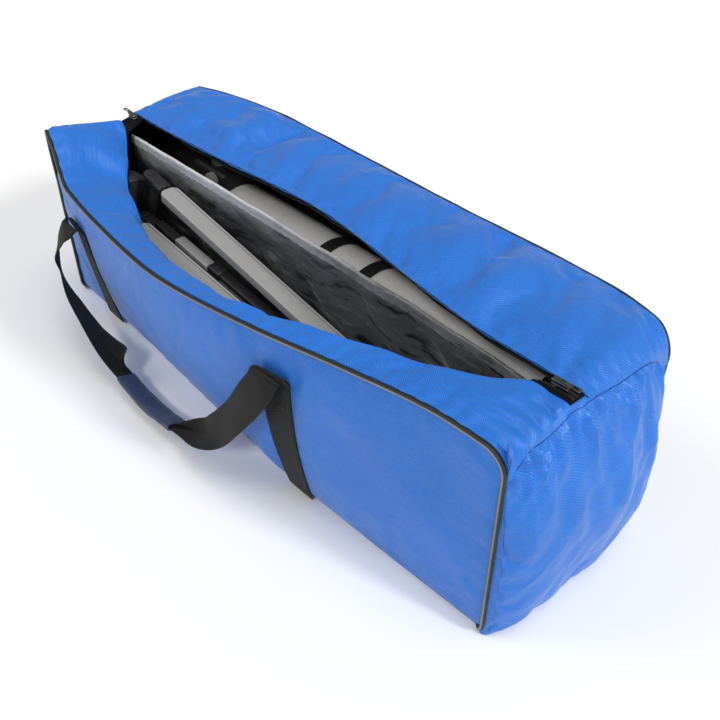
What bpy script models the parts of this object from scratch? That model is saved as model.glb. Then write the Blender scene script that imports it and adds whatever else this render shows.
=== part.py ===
# Long padded carry bag, unzipped, packed with a telescope tube, its tripod and its mount.
# Metres, +Z up. The origin is on the underside of the bag, at its middle.
# +X runs along the bag to its right end, -Y is the front with the grip, and the bag opens upwards.
import math

import bmesh
import bpy
from mathutils import Vector

# Bag: overall sizes
HALF_LENGTH = 0.500
PANEL = 0.010
END_PANEL = 0.011
FLOOR = 0.015
WALL_FOOT = 0.004
CORNER_RADII = (0.010, 0.030)
CORNER_STEPS = (0.0, 0.004, 0.011, 0.020, 0.034)
CORNER_REACH = 0.060
WALL_SWELL = 0.016
END_SWELL = 0.032
END_FOOT_SWELL = 0.024
END_FULLNESS = 0.35
GAP = 0.0004
SEAM = 0.0015

# Bag: edges of the open mouth and of the floor, as (x, y, z) or (x, y) where z is zero
FRONT_RIM = ((-0.50, -0.143, 0.320), (-0.448, -0.158, 0.300), (-0.416, -0.169, 0.283),
             (-0.376, -0.180, 0.269), (-0.18, -0.206, 0.275), (-0.04, -0.213, 0.281),
             (0.13, -0.194, 0.291), (0.29, -0.166, 0.302), (0.40, -0.150, 0.309), (0.50, -0.143, 0.306))
REAR_RIM = ((-0.50, 0.145, 0.312), (-0.42, 0.170, 0.312), (-0.30, 0.185, 0.312), (-0.10, 0.183, 0.312),
            (0.10, 0.178, 0.312), (0.36, 0.176, 0.312), (0.46, 0.162, 0.311), (0.50, 0.145, 0.306))
FRONT_FOOT = ((-0.50, -0.143), (-0.28, -0.145), (0.00, -0.157), (0.20, -0.158), (0.50, -0.143))
REAR_FOOT = ((-0.50, 0.143), (-0.25, 0.152), (0.20, 0.152), (0.50, 0.143))

# Top flaps: the fold or zip edge that faces the mouth, and the length that hangs inside the front one
FLAP = 0.004
FLAP_BELOW_RIM = 0.003
SHOULDER = (0.22, 0.65)
FLAP_MIDDLE = 0.6
FRONT_LIP = ((-0.50, -0.018, 0.296), (-0.47, -0.024, 0.286), (-0.42, -0.057, 0.264), (-0.34, -0.101, 0.252),
             (-0.23, -0.140, 0.253), (-0.07, -0.168, 0.269), (0.08, -0.172, 0.290), (0.22, -0.140, 0.305),
             (0.31, -0.113, 0.313), (0.386, -0.088, 0.317), (0.45, -0.053, 0.317), (0.50, -0.053, 0.316))
FRONT_HANG = ((-0.50, 0.006), (-0.44, 0.007), (-0.36, 0.008), (-0.28, 0.012), (-0.22, 0.055), (-0.13, 0.100),
              (0.10, 0.110), (0.30, 0.090), (0.40, 0.040), (0.445, 0.008), (0.50, 0.006))
FULL_FOLD_LENGTH = 0.035
HANGING = (-0.05, -1.0)
REAR_LIP = ((-0.50, 0.016, 0.300), (-0.40, 0.018, 0.299), (-0.25, 0.022, 0.302), (-0.114, 0.030, 0.305),
            (-0.02, 0.033, 0.306), (0.08, 0.025, 0.306), (0.228, 0.001, 0.308), (0.34, -0.014, 0.311),
            (0.42, -0.018, 0.315), (0.50, -0.019, 0.316))
REAR_CROWN = ((-0.50, 0.002), (-0.25, 0.004), (0.00, 0.008), (0.25, 0.012), (0.42, 0.010), (0.50, 0.004))
FOLD_HALF_LENGTH = 0.300
MIDDLE_GAP = 0.030

# Zip
ZIP_HALF_LENGTH = 0.482
TAPE = 0.0015
TAPE_WIDTH = 0.011
BEAD = 0.0040
TAPE_PROFILE = ((0.0, TAPE), (0.62, TAPE), (0.68, BEAD), (1.0, BEAD))
TAPE_GAP = 0.0016
SLIDER_X = 0.474
SLIDER_SIZE = (0.022, 0.011, 0.007)
SLIDER_BEVEL = 0.0015
TAB_SIZE = (0.026, 0.009, 0.0016)
TAB_BEVEL = 0.0005
BAIL_RISE = 0.0012

# Divider between the two compartments
DIVIDER = 0.005
DIVIDER_TOP = ((-0.49, 0.259), (-0.20, 0.264), (0.10, 0.266), (0.35, 0.263), (0.49, 0.253))
DIVIDER_CLEAR = 0.003
DIVIDER_WAVE = 0.0025
WAVE_LENGTH = 0.11
WAVE_START = 0.25
BINDING = (0.007, 0.008)

# Piping round the front and back panels
PIPING_RADIUS = 0.0033
PIPING_INSET = 0.002
PIPING_BEND_STEPS = 4

# Webbing: two straps sewn to each side, joined under the bag, with a free loop for the hand
WEBBING = 0.050
WEBBING_THICK = 0.0024
STRAP_X = (-0.372, 0.172)
STRAP_TOP = (0.198, 0.232)
CHANNEL = 0.003
CHANNEL_PLAY = 0.002
STRAP_CURL = ((0.0070, 0.0085), (0.0120, 0.0108))
LOOP_START = (0.0030, 0.0002)
# The front loop from the right strap to the left one: its middle, the direction across the webbing there, and
# the share of the webbing's width that is left where it is folded lengthwise for the grip
LOOP = (((0.172, -0.2097, 0.2385), (1.0, 0.12, 0.0), 1.0),
        ((0.169, -0.2158, 0.2260), (0.99, 0.05, 0.05), 1.0),
        ((0.154, -0.2222, 0.2000), (0.95, -0.05, -0.15), 1.0),
        ((0.120, -0.2270, 0.1500), (0.78, -0.31, -0.55), 1.0),
        ((0.080, -0.2290, 0.0980), (0.69, -0.41, -0.59), 0.96),
        ((0.040, -0.2310, 0.0600), (0.20, -0.95, -0.23), 0.86),
        ((-0.004, -0.2320, 0.0380), (0.0, -0.96, 0.24), 0.66),
        ((-0.050, -0.2330, 0.0270), (0.0, -0.95, 0.30), 0.54),
        ((-0.116, -0.2340, 0.0220), (0.0, -0.95, 0.30), 0.54),
        ((-0.184, -0.2320, 0.0300), (0.03, -0.95, 0.31), 0.56),
        ((-0.235, -0.2290, 0.0470), (0.11, -0.89, 0.45), 0.90),
        ((-0.292, -0.2260, 0.0680), (0.19, -0.74, 0.64), 1.0),
        ((-0.348, -0.2220, 0.0880), (0.34, -0.60, 0.73), 1.0),
        ((-0.390, -0.2180, 0.1200), (0.75, -0.32, 0.58), 1.0),
        ((-0.400, -0.2120, 0.1600), (0.83, -0.55, -0.05), 1.0),
        ((-0.383, -0.2045, 0.1930), (0.93, -0.34, 0.03), 1.0),
        ((-0.373, -0.1962, 0.2055), (0.99, -0.14, 0.0), 1.0))
LOOP_STEPS = 54
LOOP_LEVEL = 0.200
LOOP_TANGENT = 0.01
GRIP_STEPS = (23, 30)
GRIP_WALL = 0.0022

# Telescope
TUBE_RADIUS = 0.066
TUBE_WALL = 0.002
TUBE_HALF_LENGTH = 0.385
TUBE_Y = 0.0795
TUBE_Z = 0.152
TUBE_HOLE_PLAY = 0.006
END_RING_RADIUS = 0.068
END_RING_LENGTH = 0.022
END_RING_BORE = 0.058
DUST_COVER_RADIUS = 0.066
CELL_LENGTH = 0.024
CLAMP_X = (-0.032, 0.060)
CLAMP_WIDTH = 0.022
CLAMP_THICK = 0.0045
CLAMP_FOOT = (0.030, 0.044)
CLAMP_FOOT_OVERLAP = 0.004
BAR_SIZE = (0.210, 0.042)
BAR_BEVEL = 0.002
FOCUSER_X = -0.330
FOCUSER_SIZE = (0.092, 0.062, 0.052)
FOCUSER_BEVEL = 0.004
FOCUSER_TOP = 0.248
DRAWTUBE_RADIUS = 0.0180
DRAWTUBE_WALL = 0.0020
DRAWTUBE_SPAN = (0.198, 0.258)
DRAWTUBE_PLAY = 0.0006
CAP_HEIGHT = 0.006
CAP_RADIUS = 0.0195
SHAFT_REST = 0.0003
SHAFT_Z = 0.234
SHAFT_RADIUS = 0.0040
KNOB_RADIUS = 0.0130
KNOB_WIDTH = 0.010
THROUGH_ALL = 0.1

# Tripod: (middle y, top z at the left end, fall per metre) of each leg. The third one lies on its edge
LEG_LEFT = -0.320
LEG_LENGTH = 0.620
LEG_SECTIONS = ((0.033, 0.015), (0.033, 0.015), (0.015, 0.033))
LEGS = ((-0.0405, 0.245, 0.165), (-0.0995, 0.199, 0.096), (-0.061, 0.186, 0.110))
LEG_BEVEL = 0.004
SHANK_SECTIONS = ((0.026, 0.011), (0.026, 0.011), (0.011, 0.026))
SHANK_LENGTH = 0.075
FOOT_RADIUS = 0.013
FOOT_LENGTH = 0.030
HINGE_BLOCK = (0.056, 0.022, 0.018)
SMALL_BEVEL = 0.003
HUB_RADIUS = 0.050
HUB_LENGTH = 0.048
HUB_Y = -0.070
HUB_Z = 0.196
HUB_GAP = 0.004
SPREADER_BAR = (0.208, 0.018, 0.010)
SPREADER_X = -0.060
SPREADER_PLATE = (0.094, 0.018, 0.006)
SPREADER_PLATE_X = -0.2125
SPREADER_BEVEL = 0.002
RIVET_RADIUS = 0.0045
RIVET_HEIGHT = 0.003
RIVET_X = (-0.152, 0.030)
MOUNT_SIZE = (0.170, 0.086, 0.114)
MOUNT_BEVEL = 0.006
MOUNT_X = -0.225
HOUSING_RADIUS = 0.032
HOUSING_LENGTH = 0.120
HOUSING_OVERLAP = 0.010
HOUSING_Z = 0.070

# Finishes: colour, roughness, metallic
BLUE_CLOTH = ((0.030, 0.155, 0.640), 0.75, 0.0)
GREY_CLOTH = ((0.060, 0.062, 0.066), 0.60, 0.0)
PALE_CLOTH = ((0.300, 0.290, 0.270), 0.70, 0.0)
PIPING_GREY = ((0.055, 0.058, 0.066), 0.50, 0.0)
BLACK_WEB = ((0.026, 0.026, 0.025), 0.70, 0.0)
NAVY_CLOTH = ((0.022, 0.036, 0.080), 0.65, 0.0)
GREY_PAINT = ((0.340, 0.325, 0.300), 0.40, 0.0)
BLACK_PLASTIC = ((0.018, 0.018, 0.019), 0.45, 0.0)
RUBBER = ((0.020, 0.020, 0.020), 0.80, 0.0)
STEEL = ((0.420, 0.420, 0.430), 0.30, 1.0)

SHARP_ANGLE = math.radians(35)
FRONT = -1
REAR = 1


def clear_scene():
    for old in list(bpy.data.objects):
        bpy.data.objects.remove(old, do_unlink=True)


def finish_of(label, look):
    """A plain material with one colour, roughness and metallic value."""
    material = bpy.data.materials.get(label)
    if material is None:
        material = bpy.data.materials.new(label)
        material.use_nodes = True
        shader = material.node_tree.nodes["Principled BSDF"]
        shader.inputs["Base Color"].default_value = (*look[0], 1.0)
        shader.inputs["Roughness"].default_value = look[1]
        shader.inputs["Metallic"].default_value = look[2]
    return material


def named_object(name, bm, look):
    """A node from a finished bmesh, with its faces turned outwards."""
    bmesh.ops.recalc_face_normals(bm, faces=bm.faces)
    if bm.calc_volume(signed=True) < 0:
        bmesh.ops.reverse_faces(bm, faces=bm.faces)
    mesh = bpy.data.meshes.new(name)
    bm.to_mesh(mesh)
    bm.free()
    mesh.shade_smooth()
    mesh.set_sharp_from_angle(angle=SHARP_ANGLE)
    obj = bpy.data.objects.new(name, mesh)
    bpy.context.collection.objects.link(obj)
    mesh.materials.append(finish_of(name + "_finish", look))
    return obj


def through(stations, x):
    """Smooth value at x, through stations of (x, value, ...)."""
    last = len(stations) - 1
    low = 0
    while low < last - 1 and x > stations[low + 1][0]:
        low += 1

    def slope(index):
        a = stations[max(index - 1, 0)]
        b = stations[min(index + 1, last)]
        return [(q - p) / (b[0] - a[0]) for p, q in zip(a[1:], b[1:])]

    start, end = stations[low], stations[low + 1]
    span = end[0] - start[0]
    t = (x - start[0]) / span
    ease = 3 * t * t - 2 * t ** 3
    lead = (t ** 3 - 2 * t * t + t) * span
    trail = (t ** 3 - t * t) * span
    return [p * (1 - ease) + q * ease + lead * m + trail * n
            for p, q, m, n in zip(start[1:], end[1:], slope(low), slope(low + 1))]


def slab(name, across, along, place, look):
    """A sheet of the given counts of faces with a thickness: place(i, j, layer) gives each corner."""
    bm = bmesh.new()
    grid = bmesh.ops.create_grid(bm, x_segments=along, y_segments=across, size=0.5)
    lower = {vert: (round((vert.co.x + 0.5) * along), round((vert.co.y + 0.5) * across))
             for vert in grid["verts"]}
    grown = bmesh.ops.extrude_face_region(bm, geom=bm.faces[:], use_keep_orig=True)
    upper = [item for item in grown["geom"] if isinstance(item, bmesh.types.BMVert)]
    by_place = {(round(vert.co.x, 5), round(vert.co.y, 5)): index for vert, index in lower.items()}
    tops = {vert: by_place[(round(vert.co.x, 5), round(vert.co.y, 5))] for vert in upper}
    for vert, (i, j) in lower.items():
        vert.co = place(i, j, 0)
    for vert, (i, j) in tops.items():
        vert.co = place(i, j, 1)
    return named_object(name, bm, look)


def block(name, size, centre, bevel, look, pitch=0.0):
    """A box with rounded edges, tilted by pitch about Y at its centre."""
    bm = bmesh.new()
    bmesh.ops.create_cube(bm, size=1.0)
    bmesh.ops.scale(bm, vec=size, verts=bm.verts)
    if bevel:
        bmesh.ops.bevel(bm, geom=bm.edges[:], offset=bevel, segments=1, profile=0.5, affect="EDGES")
    obj = named_object(name, bm, look)
    obj.location = centre
    obj.rotation_euler = (0.0, pitch, 0.0)
    return obj


def turned(name, profile, axis, centre, look, steps=32):
    """A shape turned about an axis through centre, from a closed profile of (radius, distance along it)."""
    bm = bmesh.new()
    points = [bm.verts.new((radius, 0.0, along)) for radius, along in profile]
    edges = [bm.edges.new((a, b)) for a, b in zip(points, points[1:] + points[:1])
             if not (a.co.x == 0.0 and b.co.x == 0.0)]
    bmesh.ops.spin(bm, geom=points + edges, axis=(0, 0, 1), cent=(0, 0, 0), angle=2 * math.pi,
                   steps=steps, use_merge=True)
    bmesh.ops.remove_doubles(bm, verts=bm.verts, dist=1e-6)
    turn = Vector((0, 0, 1)).rotation_difference(Vector(axis))
    bmesh.ops.rotate(bm, verts=bm.verts, cent=(0, 0, 0), matrix=turn.to_matrix())
    obj = named_object(name, bm, look)
    obj.location = centre
    return obj


def rod(radius, half):
    """Profile of a solid round bar."""
    return ((0.0, -half), (radius, -half), (radius, half), (0.0, half))


def pipe(outer, inner, half):
    """Profile of a round pipe."""
    return ((inner, -half), (outer, -half), (outer, half), (inner, half))


def as_cutter(obj):
    obj.hide_render = True
    obj.display_type = "WIRE"
    return obj


def cut(obj, cutter, operation="DIFFERENCE"):
    change = obj.modifiers.new(operation.lower(), "BOOLEAN")
    change.operation = operation
    change.solver = "EXACT"
    change.object = as_cutter(cutter)


def long_stations(half, count=16):
    """Places along X, closer together at the rounded corners."""
    ends = [half - step for step in CORNER_STEPS]
    reach = half - CORNER_REACH
    middle = [-reach + 2 * reach * k / count for k in range(count + 1)]
    return [-e for e in ends] + middle + [e for e in reversed(ends)]


def corner_drop(x):
    """How far the rounded upper corners of a side panel fall below its rim."""
    radius = CORNER_RADII[x > 0]
    over = max(0.0, abs(x) - (HALF_LENGTH - radius))
    return radius - math.sqrt(max(0.0, radius ** 2 - over ** 2))


def rim(side, x):
    return through(FRONT_RIM if side == FRONT else REAR_RIM, x)


def wall_top(side, x):
    return rim(side, x)[1] - corner_drop(x)


def wall_face(side, x, z):
    """Y of the outer face of the front or back panel."""
    foot = through(FRONT_FOOT if side == FRONT else REAR_FOOT, x)[0]
    top, height = rim(side, x)
    share = min(max(z / height, 0.0), 1.0)
    swell = WALL_SWELL * math.cos(math.pi * x) * math.sin(math.pi * share)
    return foot + (top - foot) * share + side * swell


def side_panel(side, name):
    xs = long_stations(HALF_LENGTH)
    rows = 7

    def place(i, j, layer):
        z = WALL_FOOT + (wall_top(side, xs[i]) - WALL_FOOT) * j / rows
        return xs[i], wall_face(side, xs[i], z) - side * PANEL * layer, z

    return slab(name, rows, len(xs) - 1, place, BLUE_CLOTH)


def floor_panel():
    """Stiff floor, with a shallow channel underneath for each strap."""
    xs = long_stations(HALF_LENGTH - END_PANEL - GAP)
    columns = 2

    def place(i, j, layer):
        front = wall_face(FRONT, xs[i], WALL_FOOT) + PANEL + SEAM
        rear = wall_face(REAR, xs[i], WALL_FOOT) - PANEL - SEAM
        return xs[i], front + (rear - front) * j / columns, FLOOR * layer

    floor = slab("floor_panel", columns, len(xs) - 1, place, BLUE_CLOTH)
    for k, x in enumerate(STRAP_X):
        size = (WEBBING + CHANNEL_PLAY, 2 * HALF_LENGTH, 2 * CHANNEL)
        cut(floor, block(f"channel_cutter_{k}", size, (x, 0.0, 0.0), 0.0, BLUE_CLOTH))
    return floor


def rounded(points):
    """Corner cutting that keeps both ends."""
    fresh = [points[0]]
    for a, b in zip(points, points[1:]):
        fresh += [a * 0.75 + b * 0.25, a * 0.25 + b * 0.75]
    return fresh + [points[-1]]


def shoulder(start, lip, x):
    """Point of a flap near its side panel, which stands higher where the panel's corner is rounded off."""
    return start.lerp(lip, SHOULDER[0]) + Vector((0.0, SHOULDER[1] * corner_drop(x)))


def front_flap_line(x):
    """Middle line of the front flap across the bag: from the panel to its fold, then hanging inside."""
    y, _ = rim(FRONT, x)
    start = Vector((y + PANEL + SEAM, wall_top(FRONT, x) - FLAP_BELOW_RIM))
    lip = Vector(through(FRONT_LIP, x))
    hang = through(FRONT_HANG, x)[0]
    level = (lip - start).normalized()
    way = level.lerp(Vector(HANGING), min(1.0, hang / FULL_FOLD_LENGTH)).normalized()
    hem = lip + way * hang
    middle = start.lerp(lip, FLAP_MIDDLE)
    return rounded([start, shoulder(start, lip, x), middle, lip, lip.lerp(hem, 1 - FLAP_MIDDLE), hem])


def rear_flap_line(x):
    """Middle line of the rear flap across the bag, from the panel to its zip edge."""
    y, _ = rim(REAR, x)
    start = Vector((y - PANEL - SEAM, wall_top(REAR, x) - FLAP_BELOW_RIM))
    lip = Vector(through(REAR_LIP, x))
    crown = Vector((0.0, through(REAR_CROWN, x)[0]))
    return rounded([start, shoulder(start, lip, x) + crown / 2, start.lerp(lip, FLAP_MIDDLE) + crown, lip])


def thickened(line, k, half):
    """Point k of a line in the YZ plane, moved sideways by half."""
    ahead = line[min(k + 1, len(line) - 1)]
    behind = line[max(k - 1, 0)]
    way = (ahead - behind).normalized()
    return line[k] + Vector((-way.y, way.x)) * half


def flap(name, line_at, xs):
    count = len(line_at(0.0)) - 1

    def place(i, j, layer):
        point = thickened(line_at(xs[i]), j, FLAP * (layer - 0.5))
        return xs[i], point.x, point.y

    return slab(name, count, len(xs) - 1, place, BLUE_CLOTH)


def zip_tape(name, line_at, xs):
    """Tape that carries on from a flap's edge, with the bead of the zip along its far side."""
    def place(i, j, layer):
        line = line_at(xs[i])
        way = (line[-1] - line[-2]).normalized()
        share, thick = TAPE_PROFILE[j]
        point = line[-1] + way * (TAPE_GAP + TAPE_WIDTH * share)
        point = point + Vector((-way.y, way.x)) * thick * (layer - 0.5)
        return xs[i], point.x, point.y

    return slab(name, len(TAPE_PROFILE) - 1, len(xs) - 1, place, BLACK_WEB)


def spread(low, high, count):
    return [low + (high - low) * k / count for k in range(count + 1)]


def top_flaps():
    """Front flap in one piece, rear flap in two sewn ends and a middle that folds back."""
    flap_stations = long_stations(HALF_LENGTH - GAP)
    zip_stations = [x for x in flap_stations if abs(x) < ZIP_HALF_LENGTH]
    flap("front_flap", front_flap_line, flap_stations)
    zip_tape("front_zip_tape", front_flap_line, zip_stations)
    inner = FOLD_HALF_LENGTH
    right = [inner + GAP] + [x for x in flap_stations if x > inner + MIDDLE_GAP]
    left = [-x for x in reversed(right)]
    for label, stations in (("left", left), ("middle", spread(-inner, inner, 12)), ("right", right)):
        flap(f"rear_flap_{label}", rear_flap_line, stations)
        tape_stations = [x for x in stations if abs(x) < ZIP_HALF_LENGTH]
        zip_tape(f"rear_zip_tape_{label}", rear_flap_line, tape_stations)


def height_at(line, y):
    """Height of a flap's middle line over the given y."""
    for a, b in zip(line, line[1:]):
        if min(a.x, b.x) <= y <= max(a.x, b.x) and a.x != b.x:
            return a.y + (b.y - a.y) * (y - a.x) / (b.x - a.x)
    return min(line, key=lambda point: abs(point.x - y)).y


def end_panel(side, name):
    """End of the bag, set between the side panels and under the flaps, swelling outwards."""
    seam_x = side * HALF_LENGTH
    front = through(FRONT_FOOT, seam_x)[0] + PANEL + SEAM
    rear = through(REAR_FOOT, seam_x)[0] - PANEL - SEAM
    columns, rows = 10, 6
    depths = [side * (HALF_LENGTH - GAP - END_PANEL * k / 4) for k in range(5)]
    middle = (front_flap_line(depths[0])[-1].x + rear_flap_line(depths[0])[-1].x) / 2

    def place(i, j, layer):
        y = front + (rear - front) * i / columns
        line_at = front_flap_line if y < middle else rear_flap_line
        top = min(height_at(line_at(x), y) for x in depths) - FLAP / 2 - 2 * SEAM
        z = WALL_FOOT + (top - WALL_FOOT) * j / rows
        out = END_SWELL * math.sin(math.pi * j / rows) + END_FOOT_SWELL * (1 - j / rows)
        swell = out * math.sin(math.pi * i / columns) ** END_FULLNESS
        return side * (HALF_LENGTH - END_PANEL * layer + swell), y, z

    return slab(name, rows, columns, place, BLUE_CLOTH)


def piping(side, name):
    """Round cord sewn along the whole edge of a side panel."""
    reach = HALF_LENGTH - PIPING_INSET
    lowest = WALL_FOOT + PIPING_INSET
    left, right = (radius - PIPING_INSET for radius in CORNER_RADII)
    upper = [(x, rim(side, x)[1] - PIPING_INSET) for x in spread(left - reach, reach - right, 18)]
    corners = []
    for end, bend in ((-1, left), (1, right)):
        turns = [math.pi / 2 * k / PIPING_BEND_STEPS for k in range(1, PIPING_BEND_STEPS + 1)]
        places = [(reach - bend + bend * math.sin(turn), bend * (1 - math.cos(turn))) for turn in turns]
        corners.append([(end * x, rim(side, end * x)[1] - PIPING_INSET - drop) for x, drop in places])
    upper = corners[0][::-1] + upper + corners[1]
    right_edge = [(reach, upper[-1][1] + (lowest - upper[-1][1]) * k / 5) for k in range(1, 6)]
    lower = [(x, lowest) for x in reversed(spread(-reach, reach, 14)[1:-1])]
    left_edge = [(-reach, lowest + (upper[0][1] - lowest) * k / 5) for k in range(5)]
    points = upper + right_edge + lower + left_edge
    curve = bpy.data.curves.new(name, "CURVE")
    curve.dimensions = "3D"
    curve.bevel_depth = PIPING_RADIUS
    curve.bevel_resolution = 1
    spline = curve.splines.new("POLY")
    spline.points.add(len(points) - 1)
    spline.use_cyclic_u = True
    for knot, (x, z) in zip(spline.points, points):
        knot.co = (x, wall_face(side, x, z) + side * (PIPING_RADIUS + SEAM), z, 1.0)
    obj = bpy.data.objects.new(name, curve)
    bpy.context.collection.objects.link(obj)
    curve.materials.append(finish_of(name + "_finish", PIPING_GREY))


def divider():
    reach = HALF_LENGTH - END_PANEL - DIVIDER_CLEAR
    xs = spread(-reach, reach, 26)
    rows = 4

    def wave(x, share):
        return DIVIDER_WAVE * math.sin(2 * math.pi * x / WAVE_LENGTH) * max(0.0, share - WAVE_START)

    def wall(i, j, layer):
        share = j / rows
        z = FLOOR + GAP + (through(DIVIDER_TOP, xs[i])[0] - FLOOR) * share
        return xs[i], wave(xs[i], share) + DIVIDER * (layer - 0.5), z

    def hem(i, j, layer):
        z = through(DIVIDER_TOP, xs[i])[0] + 2 * GAP + BINDING[1] * j
        return xs[i], wave(xs[i], 1.0) + BINDING[0] * (layer - 0.5), z

    slab("divider", rows, len(xs) - 1, wall, GREY_CLOTH)
    slab("divider_binding", 1, len(xs) - 1, hem, PALE_CLOTH)


def zip_ends():
    """Sliders at both ends of the zip, each with a tab that flips over, and the cloth that ends the zip."""
    for side, label in ((-1, "left"), (1, "right")):
        x = side * SLIDER_X
        front, rear = front_flap_line(x)[-1], rear_flap_line(x)[-1]
        centre = (front + rear) / 2
        slider_z = max(front.y, rear.y) + BEAD / 2 + SEAM + SLIDER_SIZE[2] / 2
        block(f"{label}_slider", SLIDER_SIZE, (x, centre.x, slider_z), SLIDER_BEVEL, STEEL)
        hinge = bpy.data.objects.new(f"{label}_tab_axis", None)
        hinge.location = (x, centre.x, slider_z + SLIDER_SIZE[2] / 2 + BAIL_RISE)
        bpy.context.collection.objects.link(hinge)
        tab_middle = (side * (TAB_SIZE[0] - TAB_SIZE[2]) / 2, 0.0, 0.0)
        tab = block(f"{label}_pull_tab", TAB_SIZE, tab_middle, TAB_BEVEL, STEEL)
        tab.parent = hinge
        end_x = side * (HALF_LENGTH - END_PANEL / 2)
        near, far = front_flap_line(end_x)[-1], rear_flap_line(end_x)[-1]
        size = (END_PANEL - GAP, abs(far.x - near.x) - 2 * SEAM, FLAP)
        middle = (near + far) / 2
        block(f"{label}_zip_end", size, (end_x, middle.x, middle.y), TAB_BEVEL, BLUE_CLOTH)


def strap_panel(side, name, x, top):
    """Strap sewn up the outside of a side panel, clear of the piping below it, and curling out at its top."""
    low = WALL_FOOT + PIPING_INSET + 2 * PIPING_RADIUS + SEAM
    sewn = [(SEAM + WEBBING_THICK / 2, z) for z in spread(low, top, 7)]
    curl = [(out, top + rise) for out, rise in STRAP_CURL]

    def place(i, j, layer):
        across = x + WEBBING * (i / 2 - 0.5)
        line = [Vector((wall_face(side, across, min(z, top)) * side + out, z)) for out, z in sewn + curl]
        point = thickened(line, j, WEBBING_THICK * (0.5 - layer))
        return across, side * point.x, point.y

    return slab(name, len(sewn + curl) - 1, 2, place, BLACK_WEB)


def straps():
    for k, label in enumerate(("left", "right")):
        strap_panel(FRONT, f"front_strap_{label}", STRAP_X[k], STRAP_TOP[k])
        strap_panel(REAR, f"back_strap_{label}", STRAP_X[k], STRAP_TOP[k])
        reach = abs(wall_face(FRONT, STRAP_X[k], WALL_FOOT)) - PANEL - 2 * SEAM
        block(f"under_strap_{label}", (WEBBING, 2 * reach, CHANNEL - 3 * GAP),
              (STRAP_X[k], 0.0, CHANNEL / 2 + GAP / 2), 0.0, BLACK_WEB)


def strap_end(side, k):
    """Where the hand loop starts: just past the curled end of strap k."""
    x, top = STRAP_X[k], STRAP_TOP[k]
    out = STRAP_CURL[-1][0] + LOOP_START[0]
    lean = (wall_face(side, x + WEBBING / 2, top) - wall_face(side, x - WEBBING / 2, top)) / WEBBING
    spot = (x, wall_face(side, x, top) + side * out, top + STRAP_CURL[-1][1] + LOOP_START[1])
    return spot, (1.0, lean, 0.0), 1.0


def loop_knots(side):
    """Spots, directions across and widths along a hand loop, the rear one mirrored onto the back panel."""
    spots = [strap_end(side, 1)]
    for (x, y, z), (a, b, c), width in LOOP:
        if side == REAR:
            y = -y + wall_face(REAR, x, LOOP_LEVEL) + wall_face(FRONT, x, LOOP_LEVEL)
            b = -b
        spots.append(((x, y, z), (a, b, c), width))
    spots.append(strap_end(side, 0))
    return [(k / (len(spots) - 1), *spot, *across, width) for k, (spot, across, width) in enumerate(spots)]


def loop_frame(share, knots):
    """Centre, direction across, normal, width and thickness of a hand loop at a share of its way."""
    values = through(knots, share)
    ahead = through(knots, min(share + LOOP_TANGENT, 1.0))
    behind = through(knots, max(share - LOOP_TANGENT, 0.0))
    along = (Vector(ahead[:3]) - Vector(behind[:3])).normalized()
    across = Vector(values[3:6])
    across = (across - along * across.dot(along)).normalized()
    width = min(values[6], 1.0)
    return Vector(values[:3]), across, along.cross(across), WEBBING * width, WEBBING_THICK / width


def hand_loop(side, name):
    knots = loop_knots(side)

    def place(i, j, layer):
        centre, across, normal, width, thick = loop_frame(i / LOOP_STEPS, knots)
        return centre + across * width * (j - 0.5) + normal * thick * (layer - 0.5)

    return slab(name, 1, LOOP_STEPS, place, BLACK_WEB)


def grip_wrap():
    """Cloth sleeve round the folded lowest stretch of the front loop, its two edges meeting underneath."""
    steps = GRIP_STEPS[1] - GRIP_STEPS[0]
    knots = loop_knots(FRONT)
    way_round = ((0.01, -0.5), (0.5, -0.5), (0.5, 0.5), (-0.5, 0.5), (-0.5, -0.5), (-0.01, -0.5))

    def place(i, j, layer):
        centre, across, normal, width, thick = loop_frame((GRIP_STEPS[0] + i) / LOOP_STEPS, knots)
        grow = 2 * GAP + 2 * GRIP_WALL * layer
        a, b = way_round[j]
        return centre + across * (width + grow) * a + normal * (thick + grow) * b

    return slab("grip_wrap", len(way_round) - 1, steps, place, NAVY_CLOTH)


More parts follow.
